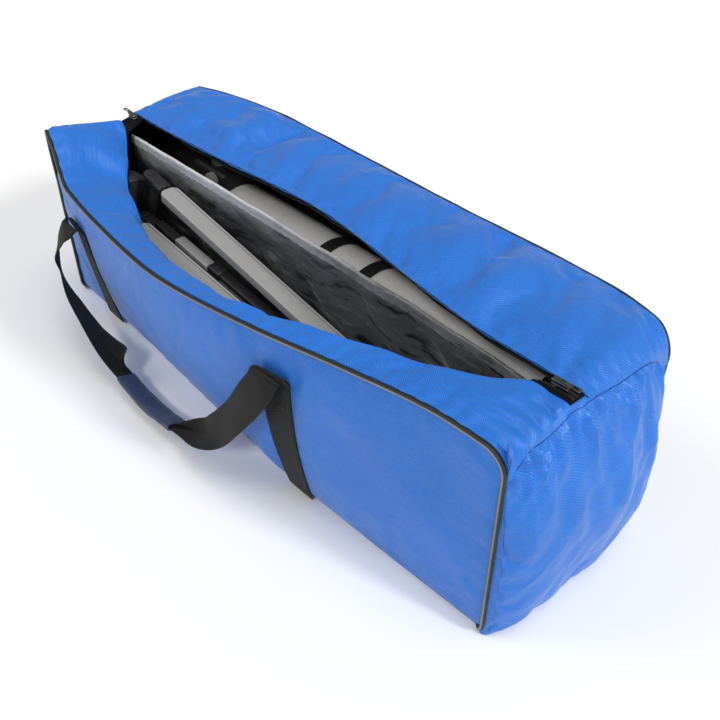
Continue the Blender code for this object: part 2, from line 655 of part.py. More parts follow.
def telescope():
    centre = Vector((0.0, TUBE_Y, TUBE_Z))
    along = (1, 0, 0)
    tube = turned("telescope_tube", pipe(TUBE_RADIUS, TUBE_RADIUS - TUBE_WALL, TUBE_HALF_LENGTH), along, centre,
                  GREY_PAINT, steps=40)
    bore = turned("tube_side_hole", rod(DRAWTUBE_RADIUS + TUBE_HOLE_PLAY, TUBE_RADIUS / 2), (0, 0, 1),
                  (FOCUSER_X, TUBE_Y, TUBE_Z + TUBE_RADIUS), GREY_PAINT, steps=24)
    cut(tube, bore)
    ring_x = -(TUBE_HALF_LENGTH + GAP + END_RING_LENGTH / 2)
    turned("tube_front_ring", pipe(END_RING_RADIUS, END_RING_BORE, END_RING_LENGTH / 2), along,
           centre + Vector((ring_x, 0, 0)), BLACK_PLASTIC)
    cap_x = ring_x - END_RING_LENGTH / 2 - GAP - CAP_HEIGHT / 2
    turned("tube_dust_cover", rod(DUST_COVER_RADIUS, CAP_HEIGHT / 2), along,
           centre + Vector((cap_x, 0, 0)), BLACK_PLASTIC)
    cell_x = TUBE_HALF_LENGTH + GAP + CELL_LENGTH / 2
    turned("tube_rear_cell", rod(END_RING_RADIUS, CELL_LENGTH / 2), along, centre + Vector((cell_x, 0, 0)),
           BLACK_PLASTIC)
    outer = TUBE_RADIUS + CLAMP_THICK + GAP
    foot_low = TUBE_Z - outer - CLAMP_FOOT[1] + CLAMP_FOOT_OVERLAP
    for k, x in enumerate(CLAMP_X, start=1):
        ring = turned(f"tube_clamp_{k}", pipe(outer, TUBE_RADIUS + GAP, CLAMP_WIDTH / 2), along,
                      centre + Vector((x, 0, 0)), BLACK_PLASTIC, steps=40)
        foot = block(f"clamp_foot_{k}", (CLAMP_WIDTH, CLAMP_FOOT[0], CLAMP_FOOT[1]),
                     (x, TUBE_Y, foot_low + CLAMP_FOOT[1] / 2), 0.0, BLACK_PLASTIC)
        cut(ring, foot, "UNION")
    bar_top = foot_low - GAP
    bar_low = FLOOR + GAP
    block("dovetail_bar", (BAR_SIZE[0], BAR_SIZE[1], bar_top - bar_low),
          (sum(CLAMP_X) / 2, TUBE_Y, (bar_top + bar_low) / 2), BAR_BEVEL, BLACK_PLASTIC)
    focuser()


def focuser():
    """Focuser on the tube: a saddle, the drawtube with its cap, and two knobs on the shaft that rolls it."""
    base = block("focuser_base", FOCUSER_SIZE, (FOCUSER_X, TUBE_Y, FOCUSER_TOP - FOCUSER_SIZE[2] / 2),
                 FOCUSER_BEVEL, BLACK_PLASTIC)
    on_tube = (FOCUSER_X, TUBE_Y, TUBE_Z)
    saddle = rod(TUBE_RADIUS + GAP, THROUGH_ALL)
    cut(base, turned("saddle_cutter", saddle, (1, 0, 0), on_tube, GREY_PAINT, steps=40))
    bore = rod(DRAWTUBE_RADIUS + DRAWTUBE_PLAY, THROUGH_ALL)
    cut(base, turned("draw_bore", bore, (0, 0, 1), on_tube, STEEL, steps=24))
    shaft_spot = (FOCUSER_X + DRAWTUBE_RADIUS + SHAFT_RADIUS + SHAFT_REST, TUBE_Y, SHAFT_Z)
    shaft_bore = rod(SHAFT_RADIUS + DRAWTUBE_PLAY, THROUGH_ALL)
    cut(base, turned("shaft_bore", shaft_bore, (0, 1, 0), shaft_spot, STEEL, steps=16))
    middle = (DRAWTUBE_SPAN[0] + DRAWTUBE_SPAN[1]) / 2
    half = (DRAWTUBE_SPAN[1] - DRAWTUBE_SPAN[0]) / 2
    turned("drawtube", pipe(DRAWTUBE_RADIUS, DRAWTUBE_RADIUS - DRAWTUBE_WALL, half), (0, 0, 1),
           (FOCUSER_X, TUBE_Y, middle), STEEL, steps=24)
    turned("eyepiece_cap", rod(CAP_RADIUS, CAP_HEIGHT / 2), (0, 0, 1),
           (FOCUSER_X, TUBE_Y, DRAWTUBE_SPAN[1] + GAP + CAP_HEIGHT / 2), BLACK_PLASTIC, steps=24)
    inner = FOCUSER_SIZE[1] / 2 + SEAM
    outer = inner + KNOB_WIDTH
    profile = ((0.0, -outer), (KNOB_RADIUS, -outer), (KNOB_RADIUS, -inner), (SHAFT_RADIUS, -inner),
               (SHAFT_RADIUS, inner), (KNOB_RADIUS, inner), (KNOB_RADIUS, outer), (0.0, outer))
    turned("focus_knobs", profile, (0, 1, 0), shaft_spot, GREY_PAINT, steps=24)


def leg_spot(leg, x, depth):
    """Point on a leg's middle plane at x, depth below its upper face."""
    y, top, fall = LEGS[leg]
    return Vector((x, y, top - fall * (x - LEG_LEFT) - depth))


def tripod():
    turned("tripod_hub", rod(HUB_RADIUS, HUB_LENGTH / 2), (1, 0, 0),
           (LEG_LEFT - HINGE_BLOCK[0] - HUB_GAP - HUB_LENGTH / 2, HUB_Y, HUB_Z), BLACK_PLASTIC)
    for leg, (_, _, fall) in enumerate(LEGS):
        pitch = math.atan(fall)
        half_depth = LEG_SECTIONS[leg][1] / 2
        number = leg + 1
        middle = leg_spot(leg, LEG_LEFT + LEG_LENGTH / 2, half_depth)
        block(f"leg_{number}", (LEG_LENGTH, *LEG_SECTIONS[leg]), middle, LEG_BEVEL, GREY_PAINT, pitch)
        spot = leg_spot(leg, LEG_LEFT - 2 * GAP - HINGE_BLOCK[0] / 2, half_depth)
        block(f"leg_hinge_{number}", HINGE_BLOCK, spot, SMALL_BEVEL, BLACK_PLASTIC, pitch)
        right = LEG_LEFT + LEG_LENGTH + 2 * GAP
        spot = leg_spot(leg, right + SHANK_LENGTH / 2, half_depth)
        block(f"leg_shank_{number}", (SHANK_LENGTH, *SHANK_SECTIONS[leg]), spot, SMALL_BEVEL, STEEL, pitch)
        spot = leg_spot(leg, right + SHANK_LENGTH + 2 * GAP + FOOT_LENGTH / 2, half_depth)
        along = (math.cos(pitch), 0, -math.sin(pitch))
        turned(f"leg_foot_{number}", rod(FOOT_RADIUS, FOOT_LENGTH / 2), along, spot, RUBBER, steps=16)
    spreader()
    mount()


def spreader():
    """Brace folded flat on the lowest leg: a plate, and a bar with its rivets."""
    pitch = math.atan(LEGS[2][2])
    bar_middle = leg_spot(2, SPREADER_X, -(GAP + SPREADER_BAR[2] / 2))
    bar = block("spreader_bar", SPREADER_BAR, bar_middle, SPREADER_BEVEL, BLACK_PLASTIC, pitch)
    upright = (math.sin(pitch), 0, math.cos(pitch))
    for k, x in enumerate(RIVET_X):
        spot = leg_spot(2, x, -(GAP + SPREADER_BAR[2]))
        rivet = turned(f"rivet_{k}", rod(RIVET_RADIUS, RIVET_HEIGHT), upright, spot, STEEL, steps=12)
        cut(bar, rivet, "UNION")
    plate_middle = leg_spot(2, SPREADER_PLATE_X, -(GAP + SPREADER_PLATE[2] / 2))
    block("spreader_plate", SPREADER_PLATE, plate_middle, SPREADER_BEVEL, GREY_PAINT, pitch)


def mount():
    """Head that carries the telescope on the tripod, packed under the legs: a block with a round housing."""
    low = FLOOR + GAP
    body_middle = (MOUNT_X, HUB_Y, low + MOUNT_SIZE[2] / 2)
    body = block("mount_head", MOUNT_SIZE, body_middle, MOUNT_BEVEL, BLACK_PLASTIC)
    x = MOUNT_X + MOUNT_SIZE[0] / 2 + HOUSING_LENGTH / 2 - HOUSING_OVERLAP
    housing = rod(HOUSING_RADIUS, HOUSING_LENGTH / 2)
    cut(body, turned("mount_housing", housing, (1, 0, 0), (x, HUB_Y, HOUSING_Z), BLACK_PLASTIC), "UNION")


clear_scene()
side_panel(FRONT, "front_panel")
side_panel(REAR, "back_panel")
floor_panel()
end_panel(-1, "left_end_panel")
end_panel(1, "right_end_panel")
top_flaps()
zip_ends()
piping(FRONT, "front_piping")
piping(REAR, "back_piping")
divider()
straps()
hand_loop(FRONT, "front_handle_loop")
hand_loop(REAR, "back_handle_loop")
grip_wrap()
telescope()
tripod()
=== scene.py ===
# Long padded carry bag lying open, with a telescope and a folded tripod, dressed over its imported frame.
# Metres, +Z up. +X runs along the bag to its right end, -Y is the front with the wrapped grip.
import math

import bmesh
import bpy
import numpy
from mathutils import Matrix, Vector, noise


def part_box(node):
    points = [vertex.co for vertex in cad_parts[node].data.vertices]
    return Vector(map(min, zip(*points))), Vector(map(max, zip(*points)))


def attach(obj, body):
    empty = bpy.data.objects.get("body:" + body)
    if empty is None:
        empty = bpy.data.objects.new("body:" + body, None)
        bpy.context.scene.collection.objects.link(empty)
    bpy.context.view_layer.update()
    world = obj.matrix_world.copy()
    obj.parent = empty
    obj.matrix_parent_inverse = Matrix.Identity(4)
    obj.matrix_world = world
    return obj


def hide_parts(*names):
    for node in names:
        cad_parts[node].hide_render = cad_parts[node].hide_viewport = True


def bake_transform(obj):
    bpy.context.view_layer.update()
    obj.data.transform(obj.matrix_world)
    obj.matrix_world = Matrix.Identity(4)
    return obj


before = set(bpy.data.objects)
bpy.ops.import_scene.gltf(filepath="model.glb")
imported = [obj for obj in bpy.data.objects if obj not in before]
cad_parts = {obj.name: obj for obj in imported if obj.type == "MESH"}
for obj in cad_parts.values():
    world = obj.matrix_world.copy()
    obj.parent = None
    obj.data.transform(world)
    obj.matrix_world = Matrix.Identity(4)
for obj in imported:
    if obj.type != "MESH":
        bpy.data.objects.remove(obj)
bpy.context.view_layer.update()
FRONT = -1
REAR = 1
CLOTH_UV = "cloth"
GAP = 0.0004

# Bag: sizes and edges, as in the solids. Rims and lips hold (x, y, z), feet (x, y), the others (x, length)
HALF_LENGTH = 0.500
PANEL = 0.010
FLOOR = 0.015
WALL_FOOT = 0.004
CORNER_RADII = (0.010, 0.030)
WALL_SWELL = 0.016
END_SWELL = 0.032
END_FOOT_SWELL = 0.024
END_FULLNESS = 0.35
SEAM = 0.0015
FRONT_RIM = ((-0.50, -0.143, 0.320), (-0.448, -0.158, 0.300), (-0.416, -0.169, 0.283),
             (-0.376, -0.180, 0.269), (-0.18, -0.206, 0.275), (-0.04, -0.213, 0.281),
             (0.13, -0.194, 0.291), (0.29, -0.166, 0.302), (0.40, -0.150, 0.309), (0.50, -0.143, 0.306))
REAR_RIM = ((-0.50, 0.145, 0.312), (-0.42, 0.170, 0.312), (-0.30, 0.185, 0.312), (-0.10, 0.183, 0.312),
            (0.10, 0.178, 0.312), (0.36, 0.176, 0.312), (0.46, 0.162, 0.311), (0.50, 0.145, 0.306))
FRONT_FOOT = ((-0.50, -0.143), (-0.28, -0.145), (0.00, -0.157), (0.20, -0.158), (0.50, -0.143))
REAR_FOOT = ((-0.50, 0.143), (-0.25, 0.152), (0.20, 0.152), (0.50, 0.143))
FLAP = 0.004
SHOULDER = (0.22, 0.65)
FLAP_MIDDLE = 0.6
FRONT_LIP = ((-0.50, -0.018, 0.296), (-0.47, -0.024, 0.286), (-0.42, -0.057, 0.264), (-0.34, -0.101, 0.252),
             (-0.23, -0.140, 0.253), (-0.07, -0.168, 0.269), (0.08, -0.172, 0.290), (0.22, -0.140, 0.305),
             (0.31, -0.113, 0.313), (0.386, -0.088, 0.317), (0.45, -0.053, 0.317), (0.50, -0.053, 0.316))
FRONT_HANG = ((-0.50, 0.006), (-0.44, 0.007), (-0.36, 0.008), (-0.28, 0.012), (-0.22, 0.055), (-0.13, 0.100),
              (0.10, 0.110), (0.30, 0.090), (0.40, 0.040), (0.445, 0.008), (0.50, 0.006))
FULL_FOLD_LENGTH = 0.035
HANGING = (-0.05, -1.0)
REAR_LIP = ((-0.50, 0.016, 0.300), (-0.40, 0.018, 0.299), (-0.25, 0.022, 0.302), (-0.114, 0.030, 0.305),
            (-0.02, 0.033, 0.306), (0.08, 0.025, 0.306), (0.228, 0.001, 0.308), (0.34, -0.014, 0.311),
            (0.42, -0.018, 0.315), (0.50, -0.019, 0.316))
REAR_CROWN = ((-0.50, 0.002), (-0.25, 0.004), (0.00, 0.008), (0.25, 0.012), (0.42, 0.010), (0.50, 0.004))
FOLD_HALF_LENGTH = 0.300
SEWN_END = 0.480

# Zip
TAPE_WIDTH = 0.011
TAPE_GAP = 0.0016
SLIDER_SIZE = (0.022, 0.011, 0.007)
TAB_SIZE = (0.026, 0.009, 0.0016)
TOOTH_PITCH = 0.0024
TOOTH = (0.0040, 0.0013, 0.0026)
TOOTH_SLANT = 0.35
ZIP_END_Y = -0.033
TAPE_REACH = 0.495
# How far each tape turns down, and the x values from which it lies flat and hangs
TAPE_DROOP = {FRONT: (1.0, 0.37, 0.27), REAR: (1.9, 0.476, 0.440)}
TAPE_UNDER = 0.0012
TAPE_THICK = 0.0012
PATCH_SPAN = (0.468, 0.4968)
PATCH_UNDER = 0.004

# Divider: its top edge as (x, z)
DIVIDER_TOP = ((-0.49, 0.259), (-0.20, 0.264), (0.10, 0.266), (0.35, 0.263), (0.49, 0.253))
HEM_HEIGHT = 0.009

# Webbing. Rows of the loop: place, direction across the webbing, share of its width that shows
WEBBING = 0.050
WEBBING_THICK = 0.0024
STRAP_X = (-0.372, 0.172)
STRAP_TOP = (0.198, 0.232)
STRAP_CURL = ((0.0070, 0.0085), (0.0120, 0.0108))
LOOP_START = (0.0030, 0.0002)
LOOP = (((0.172, -0.2097, 0.2385), (1.0, 0.12, 0.0), 1.0),
        ((0.169, -0.2158, 0.2260), (0.99, 0.05, 0.05), 1.0),
        ((0.154, -0.2222, 0.2000), (0.95, -0.05, -0.15), 1.0),
        ((0.120, -0.2270, 0.1500), (0.78, -0.31, -0.55), 1.0),
        ((0.080, -0.2290, 0.0980), (0.69, -0.41, -0.59), 0.96),
        ((0.040, -0.2310, 0.0600), (0.20, -0.95, -0.23), 0.86),
        ((-0.004, -0.2320, 0.0380), (0.0, -0.96, 0.24), 0.66),
        ((-0.050, -0.2330, 0.0270), (0.0, -0.95, 0.30), 0.54),
        ((-0.116, -0.2340, 0.0220), (0.0, -0.95, 0.30), 0.54),
        ((-0.184, -0.2320, 0.0300), (0.03, -0.95, 0.31), 0.56),
        ((-0.235, -0.2290, 0.0470), (0.11, -0.89, 0.45), 0.90),
        ((-0.292, -0.2260, 0.0680), (0.19, -0.74, 0.64), 1.0),
        ((-0.348, -0.2220, 0.0880), (0.34, -0.60, 0.73), 1.0),
        ((-0.390, -0.2180, 0.1200), (0.75, -0.32, 0.58), 1.0),
        ((-0.400, -0.2120, 0.1600), (0.83, -0.55, -0.05), 1.0),
        ((-0.383, -0.2045, 0.1930), (0.93, -0.34, 0.03), 1.0),
        ((-0.373, -0.1962, 0.2055), (0.99, -0.14, 0.0), 1.0))
LOOP_STEPS = 54
LOOP_LEVEL = 0.200
LOOP_TANGENT = 0.01
GRIP_STEPS = (23, 30)
GRIP_SHARE = 0.54
FOLD_RADIUS = 0.0016

# Telescope
TUBE_RADIUS = 0.066
TUBE_WALL = 0.002
TUBE_HALF_LENGTH = 0.385
TUBE_Y = 0.0795
TUBE_Z = 0.152
END_RING_RADIUS = 0.068
END_RING_BORE = 0.058
END_LAND_RADIUS = 0.0668
END_RING_LENGTH = 0.022
CELL_LENGTH = 0.024
CLAMP_X = (-0.032, 0.060)
CLAMP_WIDTH = 0.022
CLAMP_THICK = 0.0045
CLAMP_FOOT = (0.030, 0.044)
BAR_SIZE = (0.210, 0.042)
FOCUSER_X = -0.330
FOCUSER_SIZE = (0.092, 0.062, 0.052)
FOCUSER_TOP = 0.248
DRAWTUBE_RADIUS = 0.0180
DRAWTUBE_SPAN = (0.198, 0.258)
CAP_HEIGHT = 0.006
CAP_RADIUS = 0.0195
SHAFT_X = -0.3077
SHAFT_Z = 0.234
SHAFT_RADIUS = 0.0040
KNOB_RADIUS = 0.0130
KNOB_WIDTH = 0.010

# Tripod: (middle y, top z at the left end, fall per metre) of each leg. The third one lies on its edge
LEG_LEFT = -0.320
LEG_LENGTH = 0.620
LEG_SECTIONS = ((0.033, 0.015), (0.033, 0.015), (0.015, 0.033))
LEG_CORNER = 0.012
SLEEVE_LENGTH = 0.062
LEGS = ((-0.0405, 0.245, 0.165), (-0.0995, 0.199, 0.096), (-0.061, 0.186, 0.110))
SHANK_SECTIONS = ((0.026, 0.011), (0.026, 0.011), (0.011, 0.026))
SHANK_LENGTH = 0.075
FOOT_RADIUS = 0.013
FOOT_LENGTH = 0.030
HINGE_BLOCK = (0.056, 0.022, 0.018)
HINGE_PIN_X = -0.016
HUB_RADIUS = 0.050
HUB_LENGTH = 0.048
HUB_Y = -0.070
HUB_Z = 0.196
HUB_GAP = 0.004
SPREADER_BAR = (0.208, 0.018, 0.010)
SPREADER_X = -0.060
SPREADER_PLATE = (0.094, 0.018, 0.006)
SPREADER_PLATE_X = -0.2125
RIVET_X = (-0.152, 0.030)
MOUNT_SIZE = (0.170, 0.086, 0.114)
MOUNT_X = -0.225
HOUSING_RADIUS = 0.032
HOUSING_LENGTH = 0.120
HOUSING_Z = 0.070

# Camera that took the photograph
CAMERA_AT = (0.859994, -0.663352, 0.930636)
CAMERA_AZIMUTH = 48.2925
CAMERA_ELEVATION = 39.0704
CAMERA_LENS = 43.79
SENSOR = 36.0

# Studio. Lights: name, direction they come from, spread in degrees, power
STUDIO_FLOOR = 30.0
SKY = 0.33
LIGHTS = (("key", (0.45, -0.80, 0.85), 10.0, 1.05), ("side", (1.0, 0.25, 0.65), 9.0, 1.55),
          ("over", (0.25, 0.05, 1.0), 30.0, 0.85), ("left", (-0.50, -0.50, 0.75), 20.0, 0.42))

# Cut of the cloth: how far pieces stay off their edges, turn under and hide behind each other
FOOT_TUCK = 0.0125
FOOT_CORNER = 0.016
FOOT_DIP = 0.002
END_HALF_WIDTH = 0.1435
SIDE_END_ROOM = 0.0025
SIDE_TOP_ROOM = 0.0032
SIDE_TURN_UNDER = 0.006
END_TURN_UNDER = 0.005
END_INSIDE = 0.0090
END_SEAM_GROOVE = 0.0014
TURN_UNDER_HEIGHT = 0.030
FLAP_OVERHANG = 0.0010
FLAP_END_DROP = 0.0030
FLAP_END_REACH = 0.008
LINING_ROOM = 0.0004
SEAM_LINING = (0.2990, 0.3100)
DIVIDER_ROOM = 0.014
DIVIDER_THICK = 0.0030
HEM_LAP = 0.006
HEM_HALF_THICK = 0.0030
PIPING_RADIUS = 0.0031
PIPING_SIDES = 14
PIPING_INSET = 0.0016
PIPING_OUT = 0.0022
FLOOR_ROOM = 0.006
STRAP_HOLD = 0.027
FABRIC = {"quality": 6, "mass": 0.10, "tension_stiffness": 25, "compression_stiffness": 25,
          "shear_stiffness": 8, "bending_stiffness": 0.25, "vertex_group_mass": "sewn", "use_pressure": True}
STITCH_INSET = 0.0205
STITCH_PITCH = 0.0040
STRAP_STITCH = (0.0028, 0.0009, 0.0006)
SEAM_STITCH = (0.0022, 0.0008, 0.0006)

# Wrinkles. Folds and creases: (height, direction, length, width, seed). Gathers: (height, pitch, reach, seed)
WALL_FOLDS = ((0.0080, 0.25, 0.34, 0.13, 3.1), (0.0040, -0.75, 0.24, 0.060, 5.7),
              (0.0007, 0.5, 0.09, 0.022, 9.2))
WALL_CREASE = (0.0018, 0.9, 0.24, 0.10, 8.3)
WALL_TOP_GATHER = (0.0006, 0.031, 0.016, 1.7)
WALL_END_GATHER = (0.0013, 0.043, 0.034, 2.9)
WALL_FOOT_GATHER = (0.0006, 0.040, 0.018, 4.1)
# Height of the front flap's soft folds, and how much they gain towards the left
FRONT_FLAP_LOOSE = (0.0028, 0.0042)
FRONT_FLAP_SOFT = (1.0, 1.2, 0.18, 0.052, 12.1)
FRONT_FLAP_FINE = (0.0014, 0.7, 0.08, 0.022, 14.2)
FRONT_FLAP_DEEP = (0.0090, 0.5, 0.18, 0.050, 15.9)
FRONT_FLAP_GATHER = (0.0008, 0.027, 0.018, 21.0)
FRONT_FLAP_END_GATHER = (0.0055, 0.021, 0.026, 22.0)
REAR_FLAP_FOLDS = ((0.0130, 1.25, 0.22, 0.054, 31.2), (0.0034, 0.9, 0.10, 0.026, 33.8))
REAR_FLAP_ARCS = (0.0080, 0.15, 0.15, 0.026, 35.5)
REAR_FLAP_VALLEY = 0.0130
REAR_FLAP_GATHER = (0.0007, 0.030, 0.016, 41.0)
REAR_FLAP_HEM_GATHER = (0.0005, 0.026, 0.012, 43.0)
REAR_FLAP_END_GATHER = (0.0055, 0.020, 0.026, 42.0)
END_FOLDS = ((0.0085, 1.30, 0.20, 0.046, 55.0), (0.0018, 0.8, 0.08, 0.022, 56.0))
END_CREASE = (0.0026, 1.05, 0.22, 0.08, 57.0)
END_SHORT_GATHER = (0.0085, 0.0150, 0.024, 52.0)
END_LONG_GATHER = (0.0065, 0.038, 0.100, 51.0)
END_SIDE_GATHER = (0.0012, 0.040, 0.026, 53.0)
END_FOOT_GATHER = (0.0007, 0.034, 0.018, 54.0)
END_FAN = 0.0042
END_OPEN_WIDTH = 0.143
DIVIDER_STEEP = (0.0130, -0.85, 0.24, 0.060, 81.0)
DIVIDER_FINE = (0.0022, -0.8, 0.08, 0.018, 84.0)
# The most that the divider leans to the rear and to the front, where the tube and the legs lie
DIVIDER_LEAN = (0.0060, 0.0110)


class Signal:
    """A shader socket that takes part in arithmetic: each step adds one Math node."""

    def __init__(self, finish, socket):
        self.finish = finish
        self.socket = socket

    def step(self, operation, *others):
        return self.finish.node("ShaderNodeMath", {"operation": operation}, dict(enumerate((self, *others))))

    def __add__(self, other):
        return self.step("ADD", other)

    def __sub__(self, other):
        return self.step("SUBTRACT", other)

    def __rsub__(self, other):
        return self.finish.node("ShaderNodeMath", {"operation": "SUBTRACT"}, {0: other, 1: self})

    def __mul__(self, other):
        return self.step("MULTIPLY", other)

    def __abs__(self):
        return self.step("ABSOLUTE")

    __radd__ = __add__
    __rmul__ = __mul__

    def sine(self):
        return self.step("SINE")

    def within(self, low, high):
        """0 below low, 1 above high, smooth between."""
        return self.finish.node("ShaderNodeMapRange", {"interpolation_type": "SMOOTHSTEP"},
                                {"Value": self, "From Min": low, "From Max": high})


class Finish:
    """A material under construction: its nodes, and the sockets of its shader."""

    def __init__(self, name, **constants):
        self.material = bpy.data.materials.new(name)
        self.material.use_nodes = True
        self.tree = self.material.node_tree
        self.shader = self.tree.nodes["Principled BSDF"]
        for label, value in constants.items():
            self.shader.inputs[label.replace("_", " ")].default_value = value

    def fill(self, socket, value):
        if isinstance(value, Signal):
            self.tree.links.new(value.socket, socket)
        else:
            socket.default_value = value

    def node(self, kind, settings, sockets, output=0):
        """A node of any type, with its settings made first and then its sockets filled."""
        made = self.tree.nodes.new(kind)
        for label, value in settings.items():
            setattr(made, label, value)
        for label, value in sockets.items():
            self.fill(made.inputs[label], value)
        return Signal(self, made.outputs[output])

    def shade(self, **sockets):
        for label, value in sockets.items():
            self.fill(self.shader.inputs[label.replace("_", " ")], value)
        return self.material

    def place(self):
        return self.node("ShaderNodeTexCoord", {}, {}, "Object")

    def sewn(self):
        """Metres along and across a cloth piece."""
        return self.node("ShaderNodeUVMap", {"uv_map": CLOTH_UV}, {})

    def axis(self, vector, index):
        return self.node("ShaderNodeSeparateXYZ", {}, {0: vector}, index)

    def drawn(self, vector, scale, turn=0.0):
        """Coordinates stretched along their axes and turned about the third."""
        sockets = {"Vector": vector, "Scale": scale, "Rotation": (0.0, 0.0, turn)}
        return self.node("ShaderNodeMapping", {}, sockets)

    def speckle(self, vector, scale, detail=3.0, rough=0.5):
        return self.node("ShaderNodeTexNoise", {},
                         {"Vector": vector, "Scale": scale, "Detail": detail, "Roughness": rough})

    def mixed(self, share, first, second):
        pair = {0: share, 6: colour(first), 7: colour(second)}
        return self.node("ShaderNodeMix", {"data_type": "RGBA"}, pair, 2)

    def bump(self, height, strength=1.0):
        """Height in metres."""
        return self.node("ShaderNodeBump", {}, {"Height": height, "Strength": strength, "Distance": 1.0})


def colour(value):
    return value if isinstance(value, Signal) else (*value, 1.0)


def woven_cloth(name, deep, bright, pitch, relief, rough, sheen, crumple, gloss=0.45):
    """Coated plain weave that follows the piece, with drifts of tone and a fine crumple."""
    finish = Finish(name, Sheen_Weight=sheen, Sheen_Roughness=0.40, Specular_IOR_Level=gloss)
    sewn = finish.sewn()
    along = finish.axis(sewn, 0) * (math.pi / pitch)
    across = finish.axis(sewn, 1) * (math.pi / pitch)
    weave = ((along + across) * math.sqrt(2)).sine()
    place = finish.place()
    drift = finish.speckle(place, 7.0, 3.0)
    fleck = finish.speckle(finish.drawn(sewn, (160.0, 420.0, 1.0), 0.6), 1.0, 2.0)
    tone = drift * 0.40 + fleck * 0.58 + weave * 0.20 + 0.02
    crease = finish.speckle(finish.drawn(sewn, (16.0, 46.0, 1.0), 0.5), 1.0, 4.0, 0.55)
    height = weave * relief + crease * crumple
    return finish.shade(Base_Color=finish.mixed(tone, deep, bright),
                        Roughness=rough + weave * 0.06 + drift * 0.1, Normal=finish.bump(height))


def webbing_finish():
    """Flat woven webbing: cross ribs in two slanted rows, tighter at both edges."""
    finish = Finish("webbing", Sheen_Weight=0.06, Specular_IOR_Level=0.25)
    sewn = finish.sewn()
    along = finish.axis(sewn, 0)
    across = finish.axis(sewn, 1)
    slant = abs(across - WEBBING / 2) * 0.6
    ribs = ((along + slant) * (2 * math.pi / 0.0026)).sine()
    warp = (across * (2 * math.pi / 0.0020)).sine()
    edge = abs(across - WEBBING / 2).within(0.0210, 0.0235)
    fuzz = finish.speckle(finish.place(), 260.0, 2.0)
    tone = ribs * 0.18 + warp * 0.14 + fuzz * 0.5 + edge * 0.15 + 0.1
    return finish.shade(Base_Color=finish.mixed(tone, (0.003, 0.003, 0.003), (0.013, 0.013, 0.0125)),
                        Roughness=0.66 + fuzz * 0.25,
                        Normal=finish.bump(ribs * 0.00016 + warp * 0.00012 + fuzz * 0.00008))


def piping_finish():
    """Covered cord with a narrow pale face between dark sides, on the side that faces out: partly its own
    pale reflective covering, partly a painted highlight. The cloth map runs along and round it.
    """
    finish = Finish("piping", Specular_IOR_Level=0.5)
    sewn = finish.sewn()
    along = finish.axis(sewn, 0)
    around = finish.axis(sewn, 1)
    fuzz = finish.speckle(finish.place(), 180.0, 3.0)
    drift = finish.speckle(finish.place(), 11.0, 2.0)
    # The pale face is partly the cord's own pale covering and partly a painted highlight, kept to the side
    # that faces out.
    face = 1 - abs(around - 0.5).within(0.060, 0.095)
    ribs = (along * (2 * math.pi / 0.0016)).sine()
    pale = finish.mixed(drift * 0.8 + fuzz * 0.3 - 0.05, (0.12, 0.118, 0.112), (0.30, 0.29, 0.27))
    return finish.shade(Base_Color=finish.mixed(face, (0.010, 0.0105, 0.012), pale),
                        Roughness=0.36 + fuzz * 0.3, Normal=finish.bump(ribs * 0.00007 + fuzz * 0.00012))


def satin_lining(name, pale, reach, top):
    """Thin lining with a satin face and painted light: palest up to the height top and left of reach, with
    painted highlights on its creases and painted shade in their hollows.
    """
    finish = Finish(name, Sheen_Weight=0.35, Sheen_Roughness=0.3, Specular_IOR_Level=0.6)
    sewn = finish.sewn()
    place = finish.place()
    # Painted light: paler towards its top and its left end, where the light falls on it.
    lit = 1 - finish.axis(place, 0).within(*reach)
    drift = finish.speckle(finish.drawn(sewn, (9.0, 22.0, 1.0), -0.9), 1.0, 4.0)
    high = finish.axis(place, 2).within(top - 0.020 - lit * 0.024 - drift * 0.030, top)
    thread = (finish.axis(sewn, 1) * (2 * math.pi / 0.0022)).sine()
    crease = finish.speckle(finish.drawn(sewn, (14.0, 60.0, 1.0), -1.0), 1.0, 5.0, 0.6)
    # Painted shade in the hollows of the creases, and painted highlights on their crests.
    painted_crease_shade = 1 - crease.within(0.36, 0.47)
    painted_crease_highlight = crease.within(0.54, 0.68)
    tone = high * (lit * 0.72 + 0.16) + (1 - lit) * 0.08 + painted_crease_highlight * 0.16 - painted_crease_shade * 0.14 + drift * 0.08 - 0.02
    return finish.shade(Base_Color=finish.mixed(tone, (0.006, 0.0064, 0.0076), pale),
                        Roughness=0.34 + drift * 0.16, Normal=finish.bump(crease * 0.0036 + thread * 0.00003))


def painted(name, dark, pale, rough, gloss):
    """Satin paint with a faint orange peel, smudges and dust."""
    finish = Finish(name, Specular_IOR_Level=gloss, Coat_Roughness=0.25)
    place = finish.place()
    peel = finish.speckle(place, 420.0, 2.0)
    smudge = finish.speckle(finish.drawn(place, (3.0, 12.0, 12.0)), 1.0, 4.0)
    dust = finish.speckle(place, 95.0, 5.0, 0.65)
    tone = smudge * 0.7 + dust * 0.3
    return finish.shade(Base_Color=finish.mixed(tone, dark, pale), Coat_Weight=smudge * 0.12,
                        Roughness=rough + smudge * 0.14 + dust * 0.05, Normal=finish.bump(peel * 0.00005))


def moulded(name, dark, pale, rough):
    """Spark-textured black plastic with scuffs that catch the light."""
    finish = Finish(name, Specular_IOR_Level=0.45)
    place = finish.place()
    grain = finish.speckle(place, 900.0, 2.0, 0.6)
    scuff = finish.speckle(finish.drawn(place, (14.0, 40.0, 60.0)), 1.0, 6.0, 0.7).within(0.56, 0.74)
    haze = finish.speckle(place, 18.0, 3.0)
    return finish.shade(Base_Color=finish.mixed(scuff * 0.5 + haze * 0.4, dark, pale),
                        Roughness=rough + haze * 0.15 - scuff * 0.08, Normal=finish.bump(grain * 0.00010))


